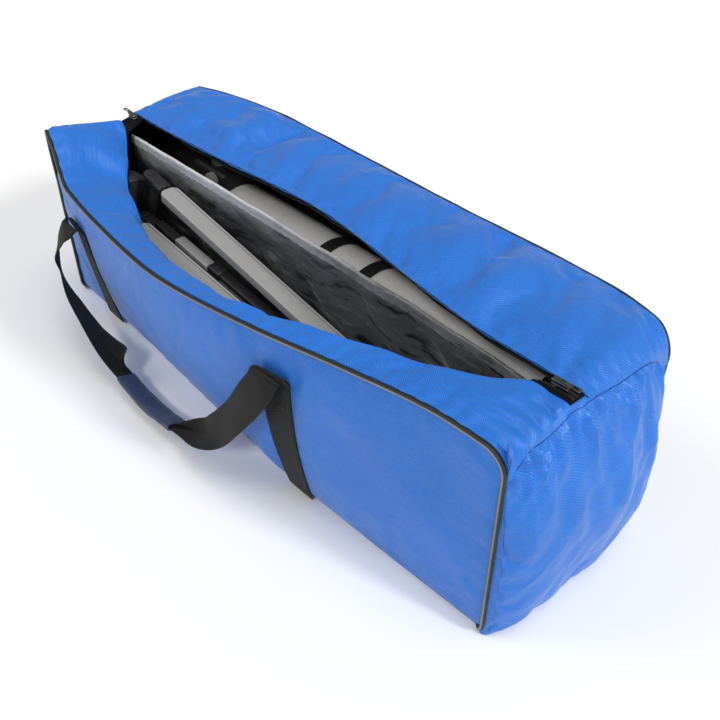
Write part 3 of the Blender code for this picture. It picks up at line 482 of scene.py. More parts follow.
def metal(name, dark, pale, rough, stretch):
    """Bare metal with fine drawn lines and dull handled patches."""
    finish = Finish(name)
    place = finish.place()
    lines = finish.speckle(finish.drawn(place, stretch), 1.0, 3.0, 0.6)
    dull = finish.speckle(place, 60.0, 4.0)
    return finish.shade(Base_Color=finish.mixed(dull * 0.6 + lines * 0.4, dark, pale),
                        Metallic=0.92 + lines * 0.08, Roughness=rough + dull * 0.25,
                        Normal=finish.bump(lines * 0.00004))


def floor_finish():
    finish = Finish("studio_floor", Specular_IOR_Level=0.1)
    cloud = finish.speckle(finish.place(), 1.5, 2.0)
    return finish.shade(Base_Color=finish.mixed(cloud, (0.86, 0.86, 0.86), (0.90, 0.90, 0.90)),
                        Roughness=0.9 + cloud * 0.05)


# Cloth: darkest and brightest colour, weave pitch, weave relief, roughness, sheen, crumple
BLUE_CLOTH = woven_cloth("blue_cloth", (0.006, 0.090, 0.390), (0.020, 0.205, 0.740),
                         0.0026, 0.00007, 0.39, 0.10, 0.0020)
DARK_LINING = woven_cloth("dark_lining", (0.008, 0.008, 0.009), (0.022, 0.022, 0.024),
                          0.0022, 0.00008, 0.6, 0.1, 0.001)
NAVY_CLOTH = woven_cloth("navy_cloth", (0.012, 0.022, 0.058), (0.032, 0.056, 0.125),
                         0.0022, 0.00014, 0.5, 0.3, 0.0009)
ZIP_TAPE = woven_cloth("zip_tape", (0.003, 0.003, 0.0035), (0.010, 0.010, 0.011),
                       0.0018, 0.00010, 0.8, 0.0, 0.0004, gloss=0.12)
BLUE_THREAD = woven_cloth("blue_thread", (0.005, 0.045, 0.210), (0.012, 0.085, 0.360),
                          0.0008, 0.00004, 0.5, 0.2, 0.0)
BLACK_THREAD = woven_cloth("black_thread", (0.008, 0.008, 0.008), (0.030, 0.030, 0.030),
                           0.0008, 0.00004, 0.5, 0.2, 0.0)
LINED_BLUE = [BLUE_CLOTH, DARK_LINING]
# Both satins: the pale colour is their painted lit colour, shown towards their tops and left ends.
SATIN = satin_lining("satin_lining", (0.520, 0.530, 0.545), (-0.38, 0.10), 0.272)
SATIN_HEM = satin_lining("satin_hem", (0.620, 0.630, 0.645), (-0.25, 0.24), 0.240)
WEB = webbing_finish()
PIPING = piping_finish()
GREY_PAINT = painted("grey_paint", (0.255, 0.250, 0.245), (0.340, 0.335, 0.328), 0.36, 0.5)
# The tube's paint is the legs' grey paint made much paler: painted light for the shade it lies in inside the
# bag.
TUBE_PAINT_WITH_PAINTED_LIGHT = painted("tube_paint", (0.660, 0.650, 0.636), (0.800, 0.790, 0.775), 0.34, 0.5)
BLACK_PLASTIC = moulded("black_plastic", (0.010, 0.010, 0.011), (0.034, 0.034, 0.036), 0.38)
COIL_PLASTIC = moulded("coil_plastic", (0.014, 0.014, 0.015), (0.045, 0.045, 0.046), 0.30)
RUBBER = moulded("foot_rubber", (0.012, 0.012, 0.012), (0.030, 0.030, 0.030), 0.66)
ZIP_METAL = metal("zip_metal", (0.05, 0.05, 0.052), (0.24, 0.24, 0.245), 0.22, (300.0, 60.0, 60.0))
BRIGHT_METAL = metal("bright_metal", (0.48, 0.48, 0.49), (0.72, 0.72, 0.73), 0.20, (20.0, 20.0, 700.0))


def ease(low, high, value):
    """0 at low, 1 at high and smooth between. Low may be the larger of the two."""
    share = min(max((value - low) / (high - low), 0.0), 1.0)
    return share * share * (3 - 2 * share)


def folds(u, v, turn, long, short, seed):
    """Soft folds that run in one direction: noise drawn out along it."""
    along = (u * math.cos(turn) + v * math.sin(turn)) / long
    across = (v * math.cos(turn) - u * math.sin(turn)) / short
    return noise.noise(Vector((along, across, seed)))


def fold(shape, u, v, side=1):
    height, turn, long, short, seed = shape
    return height * folds(u, v, turn, long, short, seed * side)


def crease(shape, u, v, side=1):
    """Narrow raised creases along one direction."""
    height, turn, long, short, seed = shape
    return height * max(0.0, 1 - 3.2 * abs(folds(u, v, turn, long, short, seed * side))) ** 2


def through(stations, x):
    """Smooth value at x, through stations of (x, value, ...)."""
    last = len(stations) - 1
    low = 0
    while low < last - 1 and x > stations[low + 1][0]:
        low += 1

    def slope(index):
        a = stations[max(index - 1, 0)]
        b = stations[min(index + 1, last)]
        return [(q - p) / (b[0] - a[0]) for p, q in zip(a[1:], b[1:])]

    start, end = stations[low], stations[low + 1]
    span = end[0] - start[0]
    t = (x - start[0]) / span
    rise = 3 * t * t - 2 * t ** 3
    lead = (t ** 3 - 2 * t * t + t) * span
    trail = (t ** 3 - t * t) * span
    return [p * (1 - rise) + q * rise + lead * m + trail * n
            for p, q, m, n in zip(start[1:], end[1:], slope(low), slope(low + 1))]


def new_piece(name, bm, materials, body, replaced=()):
    """A finished piece from a bmesh: smooth, dressed, riding on its body and standing for its solids."""
    bmesh.ops.recalc_face_normals(bm, faces=bm.faces)
    if bm.calc_volume(signed=True) < 0:
        bmesh.ops.reverse_faces(bm, faces=bm.faces)
    mesh = bpy.data.meshes.new(name)
    bm.to_mesh(mesh)
    bm.free()
    mesh.shade_smooth()
    mesh.set_sharp_from_angle(angle=math.radians(38))
    obj = bpy.data.objects.new(name, mesh)
    bpy.context.collection.objects.link(obj)
    for material in materials:
        mesh.materials.append(material)
    if body:
        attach(obj, body)
    if replaced:
        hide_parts(*replaced)
    return obj


def unit_grid(columns, rows):
    """A flat grid over 0 to 1 in x and y."""
    bm = bmesh.new()
    bmesh.ops.create_grid(bm, x_segments=columns, y_segments=rows, size=0.5,
                          matrix=Matrix.Translation((0.5, 0.5, 0.0)))
    return bm


def cloth(name, columns, rows, place, size, materials, body, replaced=()):
    """Cloth with two faces: place(u, v, layer), u and v from 0 to 1, layer 0 outside. Its map is in metres.

    A second material is its lining.
    """
    bm = unit_grid(columns, rows)
    grown = bmesh.ops.extrude_face_region(bm, geom=bm.faces[:], use_keep_orig=True)
    inner = {item for item in grown["geom"] if isinstance(item, bmesh.types.BMVert)}
    sewn = bm.loops.layers.uv.new(CLOTH_UV)
    for face in bm.faces:
        face.material_index = int(len(materials) > 1 and all(vert in inner for vert in face.verts))
        for loop in face.loops:
            loop[sewn].uv = (loop.vert.co.x * size[0], loop.vert.co.y * size[1])
    for vert in bm.verts:
        vert.co = place(vert.co.x, vert.co.y, int(vert in inner))
    return new_piece(name, bm, materials, body, replaced)


def doubled(values, axis):
    """Twice as many steps along an axis of an array, on smooth curves through the old ones."""
    old = numpy.moveaxis(values, axis, 0)
    wide = numpy.concatenate([2 * old[:1] - old[1:2], old, 2 * old[-1:] - old[-2:-1]])
    fresh = numpy.empty((2 * len(old) - 1, *old.shape[1:]))
    fresh[::2] = old
    fresh[1::2] = (9 * (wide[1:-2] + wide[2:-1]) - wide[:-3] - wide[3:]) / 16
    return numpy.moveaxis(fresh, 0, axis)


def settled(columns, rows, place, held, outward, grow, pressure, frames=24, cap=0.006):
    """Where cloth comes to rest that is held at its seams, cut larger than its frame and blown out a little.

    place(u, v) is its start, held(u, v) is 1 where it is sewn down. Returns its points by column and row.
    The cloth is simulated with half as many columns and rows, and no point moves further than cap.
    """
    start = [[Vector(place(i / columns, j / rows)) for j in range(rows + 1)] for i in range(columns + 1)]
    wide, tall = columns // 2, rows // 2
    bm = unit_grid(wide, tall)
    cells = [(round(vert.co.x * wide), round(vert.co.y * tall)) for vert in bm.verts]
    for vert, (i, j) in zip(bm.verts, cells):
        vert.co = start[2 * i][2 * j]
    bm.normal_update()
    if sum((face.normal for face in bm.faces), Vector()).dot(Vector(outward)) < 0:
        bmesh.ops.reverse_faces(bm, faces=bm.faces)
    mesh = bpy.data.meshes.new("settling")
    bm.to_mesh(mesh)
    bm.free()
    sheet = bpy.data.objects.new("settling", mesh)
    bpy.context.collection.objects.link(sheet)
    seams = sheet.vertex_groups.new(name="sewn")
    for index, (i, j) in enumerate(cells):
        at_border = i in (0, wide) or j in (0, tall)
        seams.add([index], 1.0 if at_border else held(i / wide, j / tall), "REPLACE")
    change = sheet.modifiers.new("settling", "CLOTH")
    change.collision_settings.use_collision = False
    change.point_cache.frame_start = 1
    change.point_cache.frame_end = frames
    fabric = change.settings
    for label, value in FABRIC.items():
        setattr(fabric, label, value)
    fabric.shrink_min = -grow
    fabric.uniform_pressure_force = pressure
    fabric.effector_weights.gravity = 0.0
    for number in range(1, frames + 1):
        bpy.context.scene.frame_set(number)
    rested = sheet.evaluated_get(bpy.context.evaluated_depsgraph_get()).to_mesh()
    moves = numpy.zeros((wide + 1, tall + 1, 3))
    for vert, (i, j) in zip(rested.vertices, cells):
        move = vert.co - start[2 * i][2 * j]
        moves[i, j] = move * min(1.0, cap / max(move.length, 1e-9))
    bpy.data.objects.remove(sheet)
    bpy.data.meshes.remove(mesh)
    bpy.context.scene.frame_set(1)
    moves = doubled(doubled(moves, 0), 1)
    return [[point + Vector(moves[i, j]) for j, point in enumerate(column)] for i, column in enumerate(start)]


def sharp_edges(bm, degrees=40):
    return [edge for edge in bm.edges
            if len(edge.link_faces) == 2 and edge.calc_face_angle(0.0) > math.radians(degrees)]


def soften(bm, width, segments=3):
    """Rounds every sharp edge."""
    bmesh.ops.bevel(bm, geom=sharp_edges(bm), offset=width, segments=segments, profile=0.5, affect="EDGES",
                    material=-1, clamp_overlap=True)


def block_mesh(size, centre, bevel, pitch=0.0, segments=3):
    bm = bmesh.new()
    bmesh.ops.create_cube(bm, size=1.0)
    bmesh.ops.scale(bm, vec=size, verts=bm.verts)
    if bevel:
        soften(bm, bevel, segments)
    spin = Matrix.Rotation(pitch, 4, "Y")
    bmesh.ops.transform(bm, matrix=Matrix.Translation(centre) @ spin, verts=bm.verts)
    return bm


def turned_mesh(profile, axis, centre, steps=64, bevel=0.0):
    """A shape turned about an axis through centre, from a closed profile of (radius, distance along it)."""
    bm = bmesh.new()
    points = [bm.verts.new((radius, 0.0, along)) for radius, along in profile]
    edges = [bm.edges.new((a, b)) for a, b in zip(points, points[1:] + points[:1])
             if not (a.co.x == 0.0 and b.co.x == 0.0)]
    bmesh.ops.spin(bm, geom=points + edges, axis=(0, 0, 1), cent=(0, 0, 0), angle=2 * math.pi, steps=steps,
                   use_merge=True)
    bmesh.ops.remove_doubles(bm, verts=bm.verts, dist=1e-6)
    bmesh.ops.recalc_face_normals(bm, faces=bm.faces)
    if bevel:
        soften(bm, bevel, 2)
    turn = Vector((0, 0, 1)).rotation_difference(Vector(axis)).to_matrix().to_4x4()
    bmesh.ops.transform(bm, matrix=Matrix.Translation(centre) @ turn, verts=bm.verts)
    return bm


def rod(radius, half):
    return ((0.0, -half), (radius, -half), (radius, half), (0.0, half))


def pipe(outer, inner, half):
    return ((inner, -half), (outer, -half), (outer, half), (inner, half))


def joined(*parts):
    """One bmesh from several, each left as its own shell."""
    whole = bmesh.new()
    for bm in parts:
        mesh = bpy.data.meshes.new("part")
        bm.to_mesh(mesh)
        bm.free()
        whole.from_mesh(mesh)
        bpy.data.meshes.remove(mesh)
    return whole


def carved(bm, *cutters):
    """A bmesh with other closed shapes cut out of it."""
    def loose(shape):
        mesh = bpy.data.meshes.new("carving")
        shape.to_mesh(mesh)
        shape.free()
        obj = bpy.data.objects.new("carving", mesh)
        bpy.context.collection.objects.link(obj)
        return obj

    body = loose(bm)
    tools = [loose(cutter) for cutter in cutters]
    for tool in tools:
        change = body.modifiers.new("cut", "BOOLEAN")
        change.solver = "EXACT"
        change.object = tool
    result = bmesh.new()
    result.from_object(body, bpy.context.evaluated_depsgraph_get())
    for old in [body] + tools:
        mesh = old.data
        bpy.data.objects.remove(old)
        bpy.data.meshes.remove(mesh)
    return result


def beads(spots, size):
    """Small rounded bars, one at each (centre, direction, upright)."""
    bm = bmesh.new()
    for centre, along, up in spots:
        side = up.cross(along).normalized()
        axes = Matrix((along.normalized(), side, along.cross(side).normalized())).transposed().to_4x4()
        spot = Matrix.Translation(centre) @ axes @ Matrix.Diagonal((*size, 1))
        bmesh.ops.create_cube(bm, size=1.0, matrix=spot)
    return bm


def wall_stations(side):
    return FRONT_RIM if side == FRONT else REAR_RIM


def corner_drop(x):
    """How far the top of a side panel falls at its rounded corners."""
    radius = CORNER_RADII[x > 0]
    over = min(max(0.0, abs(x) - (HALF_LENGTH - radius)), radius)
    return radius - math.sqrt(radius ** 2 - over ** 2)


def rim(side, x):
    """Y and z of a side panel's top edge, without its rounded corners."""
    return through(wall_stations(side), x)


def wall_top(side, x):
    return rim(side, x)[1] - corner_drop(x)


def wall_face(side, x, z):
    """Y of the outer face of the front or back panel before its wrinkles."""
    foot = through(FRONT_FOOT if side == FRONT else REAR_FOOT, x)[0]
    top, height = rim(side, x)
    share = min(max(z / height, 0.0), 1.0)
    swell = WALL_SWELL * math.cos(math.pi * x) * math.sin(math.pi * share)
    return foot + (top - foot) * share + side * swell


def puckers(along, from_seam, pitch, reach, seed):
    """Short gathers that a row of stitching draws into cloth, -1 to 1."""
    bend = 2.4 * noise.noise(Vector((along * 14, from_seam * 6, seed)))
    strength = 0.55 + 0.9 * noise.noise(Vector((along * 11, seed, 0.0)))
    wave = math.sin(2 * math.pi * along / pitch + bend)
    return wave * max(0.0, strength) * math.exp(-from_seam / reach) * ease(0.0, 0.006, from_seam)


def gather(shape, along, from_seam, side=1, shift=0.0):
    height, pitch, reach, seed = shape
    return height * puckers(along, from_seam, pitch, reach, seed * side + shift)


def strap_calm(x):
    """1 on open cloth, less under the straps."""
    near = min(abs(x - at) for at in STRAP_X)
    return 0.12 + 0.88 * ease(0.026, 0.060, near)


def wall_wrinkle(side, x, z):
    """How far the outer face of a side panel stands out from its smooth form."""
    top = wall_top(side, x)
    from_end = HALF_LENGTH - abs(x)
    open_cloth = ease(0.0, 0.040, min(from_end, top - z, z - WALL_FOOT))
    slack = sum(fold(shape, x, z, side) for shape in WALL_FOLDS) + crease(WALL_CREASE, x, z, side)
    gathered = (gather(WALL_TOP_GATHER, x, top - z, side) + gather(WALL_END_GATHER, z, from_end, side, x)
                + gather(WALL_FOOT_GATHER, x, z - WALL_FOOT, side))
    return (slack * open_cloth + gathered) * strap_calm(x)


def wall_dressed(side, x, z):
    """Y of the outer face of a side panel with its wrinkles."""
    return wall_face(side, x, z) + side * wall_wrinkle(side, x, z)


def side_panel(side, label, node):
    """Front or back panel of padded cloth, held at its seams and under the straps."""
    reach = HALF_LENGTH - SIDE_END_ROOM
    columns, rows = 250, 76

    def spot(u, v):
        x = (2 * u - 1) * reach
        over = max(0.0, abs(x) - (HALF_LENGTH - FOOT_CORNER))
        low = WALL_FOOT - FOOT_DIP + FOOT_CORNER - math.sqrt(FOOT_CORNER ** 2 - over ** 2)
        return x, low + (wall_top(side, x) - SIDE_TOP_ROOM - low) * v

    def start(u, v):
        x, z = spot(u, v)
        under = SIDE_TURN_UNDER * (1 - ease(0.0, TURN_UNDER_HEIGHT, z)) ** 2
        return x, wall_dressed(side, x, z) - side * under, z

    def held(u, v):
        x, z = spot(u, v)
        near = [abs(x - at) for at, top in zip(STRAP_X, STRAP_TOP) if z < top + 0.004]
        return 1.0 if min(near, default=1.0) < STRAP_HOLD else 0.0

    face = settled(columns, rows, start, held, (0, side, 0), 0.004, 1.0, cap=0.005)

    def place(u, v, layer):
        x, z = spot(u, v)
        if layer:
            return x, wall_face(side, x, z) - side * PANEL, z
        return face[round(u * columns)][round(v * rows)]

    panel = cloth(label, columns, rows, place, (1.0, 0.30), LINED_BLUE, "bag", [node])


def rounded(points, times):
    """Corner cutting that keeps both ends."""
    for _ in range(times):
        fresh = [points[0]]
        for a, b in zip(points, points[1:]):
            fresh += [a * 0.75 + b * 0.25, a * 0.25 + b * 0.75]
        points = fresh + [points[-1]]
    return points


def shoulder(start, lip, x):
    """Point that keeps a flap full just past its seam."""
    return start.lerp(lip, SHOULDER[0]) + Vector((0.0, SHOULDER[1] * corner_drop(x)))


def seam_start(side, x):
    """The two points where a flap leaves the piping and crosses the top of its side panel."""
    y = rim(side, x)[0]
    top = wall_top(side, x)
    return Vector((y - side * 0.0010, top - 0.0006)), Vector((y - side * (PANEL + SEAM), top + 0.0008))


def front_flap_line(x):
    """Front flap across the bag, from its seam over its lip down to its hem, as (y, z)."""
    edge, start = seam_start(FRONT, x)
    lip = Vector(through(FRONT_LIP, x))
    hang = through(FRONT_HANG, x)[0]
    level = (lip - start).normalized()
    way = level.lerp(Vector(HANGING), min(1.0, hang / FULL_FOLD_LENGTH)).normalized()
    hem = lip + way * hang
    middle = start.lerp(lip, FLAP_MIDDLE)
    return [edge, start, shoulder(start, lip, x), middle, lip, lip.lerp(hem, 1 - FLAP_MIDDLE), hem]


def rear_flap_line(x):
    """Rear flap across the bag, from its seam to its lip, as (y, z)."""
    edge, start = seam_start(REAR, x)
    lip = Vector(through(REAR_LIP, x))
    crown = Vector((0.0, through(REAR_CROWN, x)[0]))
    return [edge, start, shoulder(start, lip, x) + crown / 2, start.lerp(lip, FLAP_MIDDLE) + crown, lip]


def evenly(line, count):
    """The line, rounded and cut into even steps, with its direction at each."""
    fine = rounded(line, 3)
    lengths = [0.0]
    for a, b in zip(fine, fine[1:]):
        lengths.append(lengths[-1] + (b - a).length)
    spots = []
    k = 0
    for step in range(count + 1):
        target = lengths[-1] * step / count
        while k < len(fine) - 2 and lengths[k + 1] < target:
            k += 1
        span = max(lengths[k + 1] - lengths[k], 1e-9)
        spot = fine[k].lerp(fine[k + 1], (target - lengths[k]) / span)
        spots.append((spot, (fine[k + 1] - fine[k]).normalized()))
    return spots, lengths[-1]


class FlapShape:
    """A flap as a table of points on its middle surface, by column along the bag and row across the flap."""

    def __init__(self, side, line_at, columns, rows, wrinkle, grow):
        self.columns = columns
        self.rows = rows
        self.reach = HALF_LENGTH + FLAP_OVERHANG
        lines = [evenly(line_at(self.x_of(i)), rows) for i in range(columns + 1)]

        def start(u, v):
            x = self.x_of(round(u * columns))
            spots, length = lines[round(u * columns)]
            spot, way = spots[round(v * rows)]
            normal = Vector((side * way.y, -side * way.x))
            point = spot + normal * wrinkle(x, v, length)
            end = max(0.0, abs(x) - (HALF_LENGTH - FLAP_END_REACH)) / FLAP_END_REACH
            return x, point.x, point.y - FLAP_END_DROP * end * end

        self.table = settled(columns, rows, start, lambda u, v: 0.0, (0, 0, 1), grow, 1.0)
        self.side = side

    def x_of(self, i):
        return self.reach * (2 * i / self.columns - 1)

    def normal(self, i, j):
        table = self.table
        along = table[min(i + 1, self.columns)][j] - table[max(i - 1, 0)][j]
        across = table[i][min(j + 1, self.rows)] - table[i][max(j - 1, 0)]
        return along.cross(across).normalized() * -self.side

    def point(self, i, j, layer):
        return self.table[i][j] + self.normal(i, j) * FLAP * (0.5 - layer)

    def hem_at(self, x):
        """Place, direction away from the flap and upper side at its free edge."""
        place = (x / self.reach + 1) / 2 * self.columns
        i = min(int(place), self.columns - 1)
        share = place - i
        spot = self.table[i][-1].lerp(self.table[i + 1][-1], share)
        first, last = max(i - 5, 0), min(i + 6, self.columns)
        way = sum((column[-1] - column[-10] for column in self.table[first:last + 1]), Vector()).normalized()
        along = self.table[last][-1] - self.table[first][-1]
        return spot, way, along.cross(way).normalized() * -self.side


def end_gather(x):
    """How far a flap gathers up at a place: just off its right seam, and hardly at the left one."""
    return ease(0.001, 0.009, HALF_LENGTH - abs(x)) * (0.25 + 0.75 * ease(-0.1, 0.1, x))


def front_flap_wrinkle(x, v, length):
    across = v * length
    from_end = HALF_LENGTH - abs(x)
    open_cloth = ease(0.0, 0.030, min(across, from_end))
    loose = FRONT_FLAP_LOOSE[0] + FRONT_FLAP_LOOSE[1] * ease(-0.16, -0.32, x)
    soft = loose * fold(FRONT_FLAP_SOFT, x, across) + fold(FRONT_FLAP_FINE, x, across)
    deep = fold(FRONT_FLAP_DEEP, x, across) * ease(-0.25, -0.40, x)
    hem = ease(0.002, 0.014, length - across)
    ends = gather(FRONT_FLAP_END_GATHER, across, from_end, 1, x) * end_gather(x) * hem
    return (soft + deep) * open_cloth + gather(FRONT_FLAP_GATHER, x, across) + ends


def rear_flap_wrinkle(x, v, length):
    across = v * length
    from_end = HALF_LENGTH - abs(x)
    open_cloth = ease(0.0, 0.030, min(across, from_end))
    hem = ease(0.0, 0.012, length - across)
    from_valley = (x + 0.235 + 0.25 * (across - 0.08)) / 0.030
    valley = -REAR_FLAP_VALLEY * math.exp(-from_valley ** 2) * math.sin(math.pi * v) ** 0.7
    soft = sum(fold(shape, x, across) for shape in REAR_FLAP_FOLDS)
    arcs = fold(REAR_FLAP_ARCS, x, across + 0.10 * x) * ease(-0.16, -0.26, x)
    seams = gather(REAR_FLAP_GATHER, x, across) + gather(REAR_FLAP_HEM_GATHER, x, length - across)
    ends = gather(REAR_FLAP_END_GATHER, across, from_end, 1, x) * end_gather(x) * hem
    return (valley + soft + arcs) * open_cloth * hem + seams + ends


FRONT_SHAPE = FlapShape(FRONT, front_flap_line, 260, 84, front_flap_wrinkle, 0.006)
REAR_SHAPE = FlapShape(REAR, rear_flap_line, 260, 60, rear_flap_wrinkle, 0.007)


def flap(label, shape, first, last, width, body, replaced):
    """The columns of a flap from first to last as one piece."""
    count = last - first

    def place(u, v, layer):
        return shape.point(first + round(u * count), round(v * shape.rows), layer)

    size = (2 * shape.reach * count / shape.columns, width)
    return cloth(label, count, shape.rows, place, size, LINED_BLUE, body, replaced)


def zip_tape(label, shape, low, high, columns, body, replaced):
    """Tape that carries on from a flap's edge, and the row of teeth along its far side."""
    def edge_at(x):
        spot, way, normal = shape.hem_at(x)
        turn, flat, hanging = TAPE_DROOP[shape.side]
        droop = turn * ease(flat, hanging, x)
        return (spot, way * math.cos(droop) - normal * math.sin(droop),
                normal * math.cos(droop) + way * math.sin(droop))

    def place(u, v, layer):
        spot, way, normal = edge_at(low + (high - low) * u)
        out = (TAPE_GAP + TAPE_WIDTH + 0.001) * v - TAPE_UNDER
        return spot + way * out - normal * (GAP + TAPE_THICK * layer)

    tape = cloth(label, columns, 5, place, (high - low, 0.016), [ZIP_TAPE], body, replaced)
    spots = []
    count = int((high - low) / TOOTH_PITCH)
    for k in range(count):
        spot, way, normal = edge_at(low + (k + 0.5) * (high - low) / count)
        spots.append((spot + way * (TAPE_GAP + TAPE_WIDTH - 0.0022) + normal * 0.0004,
                      (way + Vector((TOOTH_SLANT, 0, 0))).normalized(), normal))
    teeth = label.replace("tape", "teeth")
    return tape, new_piece(teeth, beads(spots, TOOTH), [COIL_PLASTIC], body)


def top_flaps():
    """Both flaps with their zip tapes. The rear one is made in two halves, split at its middle."""
    front = flap("front_flap_cloth", FRONT_SHAPE, 0, FRONT_SHAPE.columns, 0.16, "bag", ["front_flap"])
    zip_tape("front_zip_tape_cloth", FRONT_SHAPE, -TAPE_REACH, TAPE_REACH, 200, "bag", ["front_zip_tape"])
    middle = REAR_SHAPE.columns // 2
    for side, label in ((-1, "left"), (1, "right")):
        first, last = (0, middle) if side < 0 else (middle, REAR_SHAPE.columns)
        nodes = [f"rear_flap_{label}"] + (["rear_flap_middle"] if side < 0 else [])
        cover = flap(f"rear_flap_cloth_{label}", REAR_SHAPE, first, last, 0.17, None, nodes)
        sewn, free = (side * SEWN_END, 0.1, 0.3), (side * FOLD_HALF_LENGTH, 0.1, 0.3)
        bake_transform(cover)
        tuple(sewn)
        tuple(free)
        low, high = (-TAPE_REACH, 0.0) if side < 0 else (0.0, TAPE_REACH)
        nodes = [f"rear_zip_tape_{label}"] + (["rear_zip_tape_middle"] if side < 0 else [])
        for piece in zip_tape(f"rear_zip_tape_cloth_{label}", REAR_SHAPE, low, high, 100, None, nodes):
            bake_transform(piece)
            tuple(sewn)
            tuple(free)


def seam_linings():
    """Strips inside the rear seam, sewn to the back panel and to the flap, so that it never gapes."""
    low, high = SEAM_LINING
    for label, first, last, end in (("left", -SEWN_END, -FOLD_HALF_LENGTH, -1),
                                    ("middle", -FOLD_HALF_LENGTH, FOLD_HALF_LENGTH, 0),
                                    ("right", FOLD_HALF_LENGTH, SEWN_END, 1)):
        def place(u, v, layer):
            x = first + (last - first) * u
            z = low + (high - low) * v
            return x, wall_face(REAR, x, z) - PANEL - LINING_ROOM - 0.0020 * v - 0.0010 * layer, z

        size = (last - first, high - low)
        strip = cloth(f"rear_seam_lining_{label}", 60, 8, place, size, [DARK_LINING], None)
        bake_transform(strip)


def flap_height(x, y):
    """Height of the flaps' middle lines over a point of the end seam."""
    best = None
    for line_at in (front_flap_line, rear_flap_line):
        line = rounded(line_at(x), 2)
        for a, b in zip(line, line[1:]):
            if a.x != b.x and min(a.x, b.x) <= y <= max(a.x, b.x):
                z = a.y + (b.y - a.y) * (y - a.x) / (b.x - a.x)
                best = z if best is None else max(best, z)
    if best is None:
        front, rear = front_flap_line(x)[-1], rear_flap_line(x)[-1]
        share = min(max((y - front.x) / (rear.x - front.x), 0.0), 1.0)
        best = front.y + (rear.y - front.y) * share
    return best


def end_wrinkle(side, y, z, top):
    """Gathers that hang from the top seam of an end panel, and the slack cloth below them."""
    down = top - z
    from_side = END_OPEN_WIDTH - abs(y)
    open_cloth = ease(0.0, 0.030, min(from_side, z - WALL_FOOT, down))
    hanging = gather(END_SHORT_GATHER, y, down, side) + gather(END_LONG_GATHER, y - 0.16 * down, down, side)
    turn = math.atan2(y - ZIP_END_Y, down + 0.020)
    fan = END_FAN * math.sin(8 * turn + 4 * noise.noise(Vector((turn * 3, down * 4, 58.0 * side))))
    fan *= ease(0.0, 0.030, down) * math.exp(-down / 0.10)
    edges = gather(END_SIDE_GATHER, z, from_side, side, y) + gather(END_FOOT_GATHER, y, z - WALL_FOOT, side)
    slack = sum(fold(shape, y, z, side) for shape in END_FOLDS) + crease(END_CREASE, y, z, side) + fan
    return hanging * ease(0.004, 0.012, down) + edges + slack * open_cloth


def end_fullness(y):
    """How much of an end panel's swell there is at y, 0 at its side seams."""
    return max(0.0, math.cos(math.pi * y / (2 * END_HALF_WIDTH))) ** END_FULLNESS


def end_panel(side, label, node):
    """End panel that swells outwards, gathered at its top seam, with stitches along it."""
    half = END_HALF_WIDTH
    columns, rows = 120, 110

    def across(u):
        return -half * math.cos(math.pi * u) * 0.7 + (2 * u - 1) * half * 0.3

    tops = [flap_height(side * (HALF_LENGTH - 0.001), across(k / columns)) - FLAP / 2 - 0.0006
            for k in range(columns + 1)]

    def smooth(u, v):
        y = across(u)
        z = WALL_FOOT - FOOT_DIP + (tops[round(u * columns)] - WALL_FOOT + FOOT_DIP) * v
        swell = (END_SWELL * math.sin(math.pi * v) + END_FOOT_SWELL * (1 - v)) * end_fullness(y)
        under = END_TURN_UNDER * (1 - ease(0.0, TURN_UNDER_HEIGHT, z)) ** 2
        under += END_SEAM_GROOVE * ease(0.965, 1.0, v)
        return HALF_LENGTH + swell - under, y, z

    def start(u, v):
        x, y, z = smooth(u, v)
        return side * (x + end_wrinkle(side, y, z, tops[round(u * columns)])), y, z

    face = settled(columns, rows, start, lambda u, v: 0.0, (side, 0, 0), 0.010, 1.2)

    def place(u, v, layer):
        if not layer:
            return face[round(u * columns)][round(v * rows)]
        x, y, z = smooth(u, v)
        return side * (x - END_INSIDE), y * (1 - 0.0070 / half), z

    size = (0.287, 0.31)
    panel = cloth(label, columns, rows, place, size, LINED_BLUE, "bag", [node])
    spots = []
    for k in range(2, columns - 1):
        spot = face[k][rows - 2]
        along = (face[k + 1][rows - 2] - face[k - 1][rows - 2]).normalized()
        spots.append((spot + Vector((side * 0.0006, 0, 0.0003)), along, Vector((side, 0, 0))))
    new_piece(label + "_stitches", beads(spots, SEAM_STITCH), [BLUE_THREAD], "bag")


def floor_piece():
    def place(u, v, layer):
        reach = HALF_LENGTH - FLOOR_ROOM + END_FOOT_SWELL * end_fullness((2 * v - 1) * END_HALF_WIDTH)
        x = (2 * u - 1) * reach
        front = wall_face(FRONT, x, WALL_FOOT) + FLOOR_ROOM
        rear = wall_face(REAR, x, WALL_FOOT) - FLOOR_ROOM
        y = front + (rear - front) * v
        edge = min(reach - abs(x), y - front, rear - y)
        lift = 0.004 * (1 - ease(0.0, 0.020, edge))
        dent = 0.0026 * max(ease(0.032, 0.024, abs(x - at)) for at in STRAP_X)
        low = lift + dent + 0.0004 + 0.0003 * folds(x, y, 0.3, 0.08, 0.03, 61.0)
        return x, y, FLOOR - 0.0006 if layer else low

    piece = cloth("floor_cloth", 200, 40, place, (1.0, 0.29), LINED_BLUE, "bag",
                  ["floor_panel"])


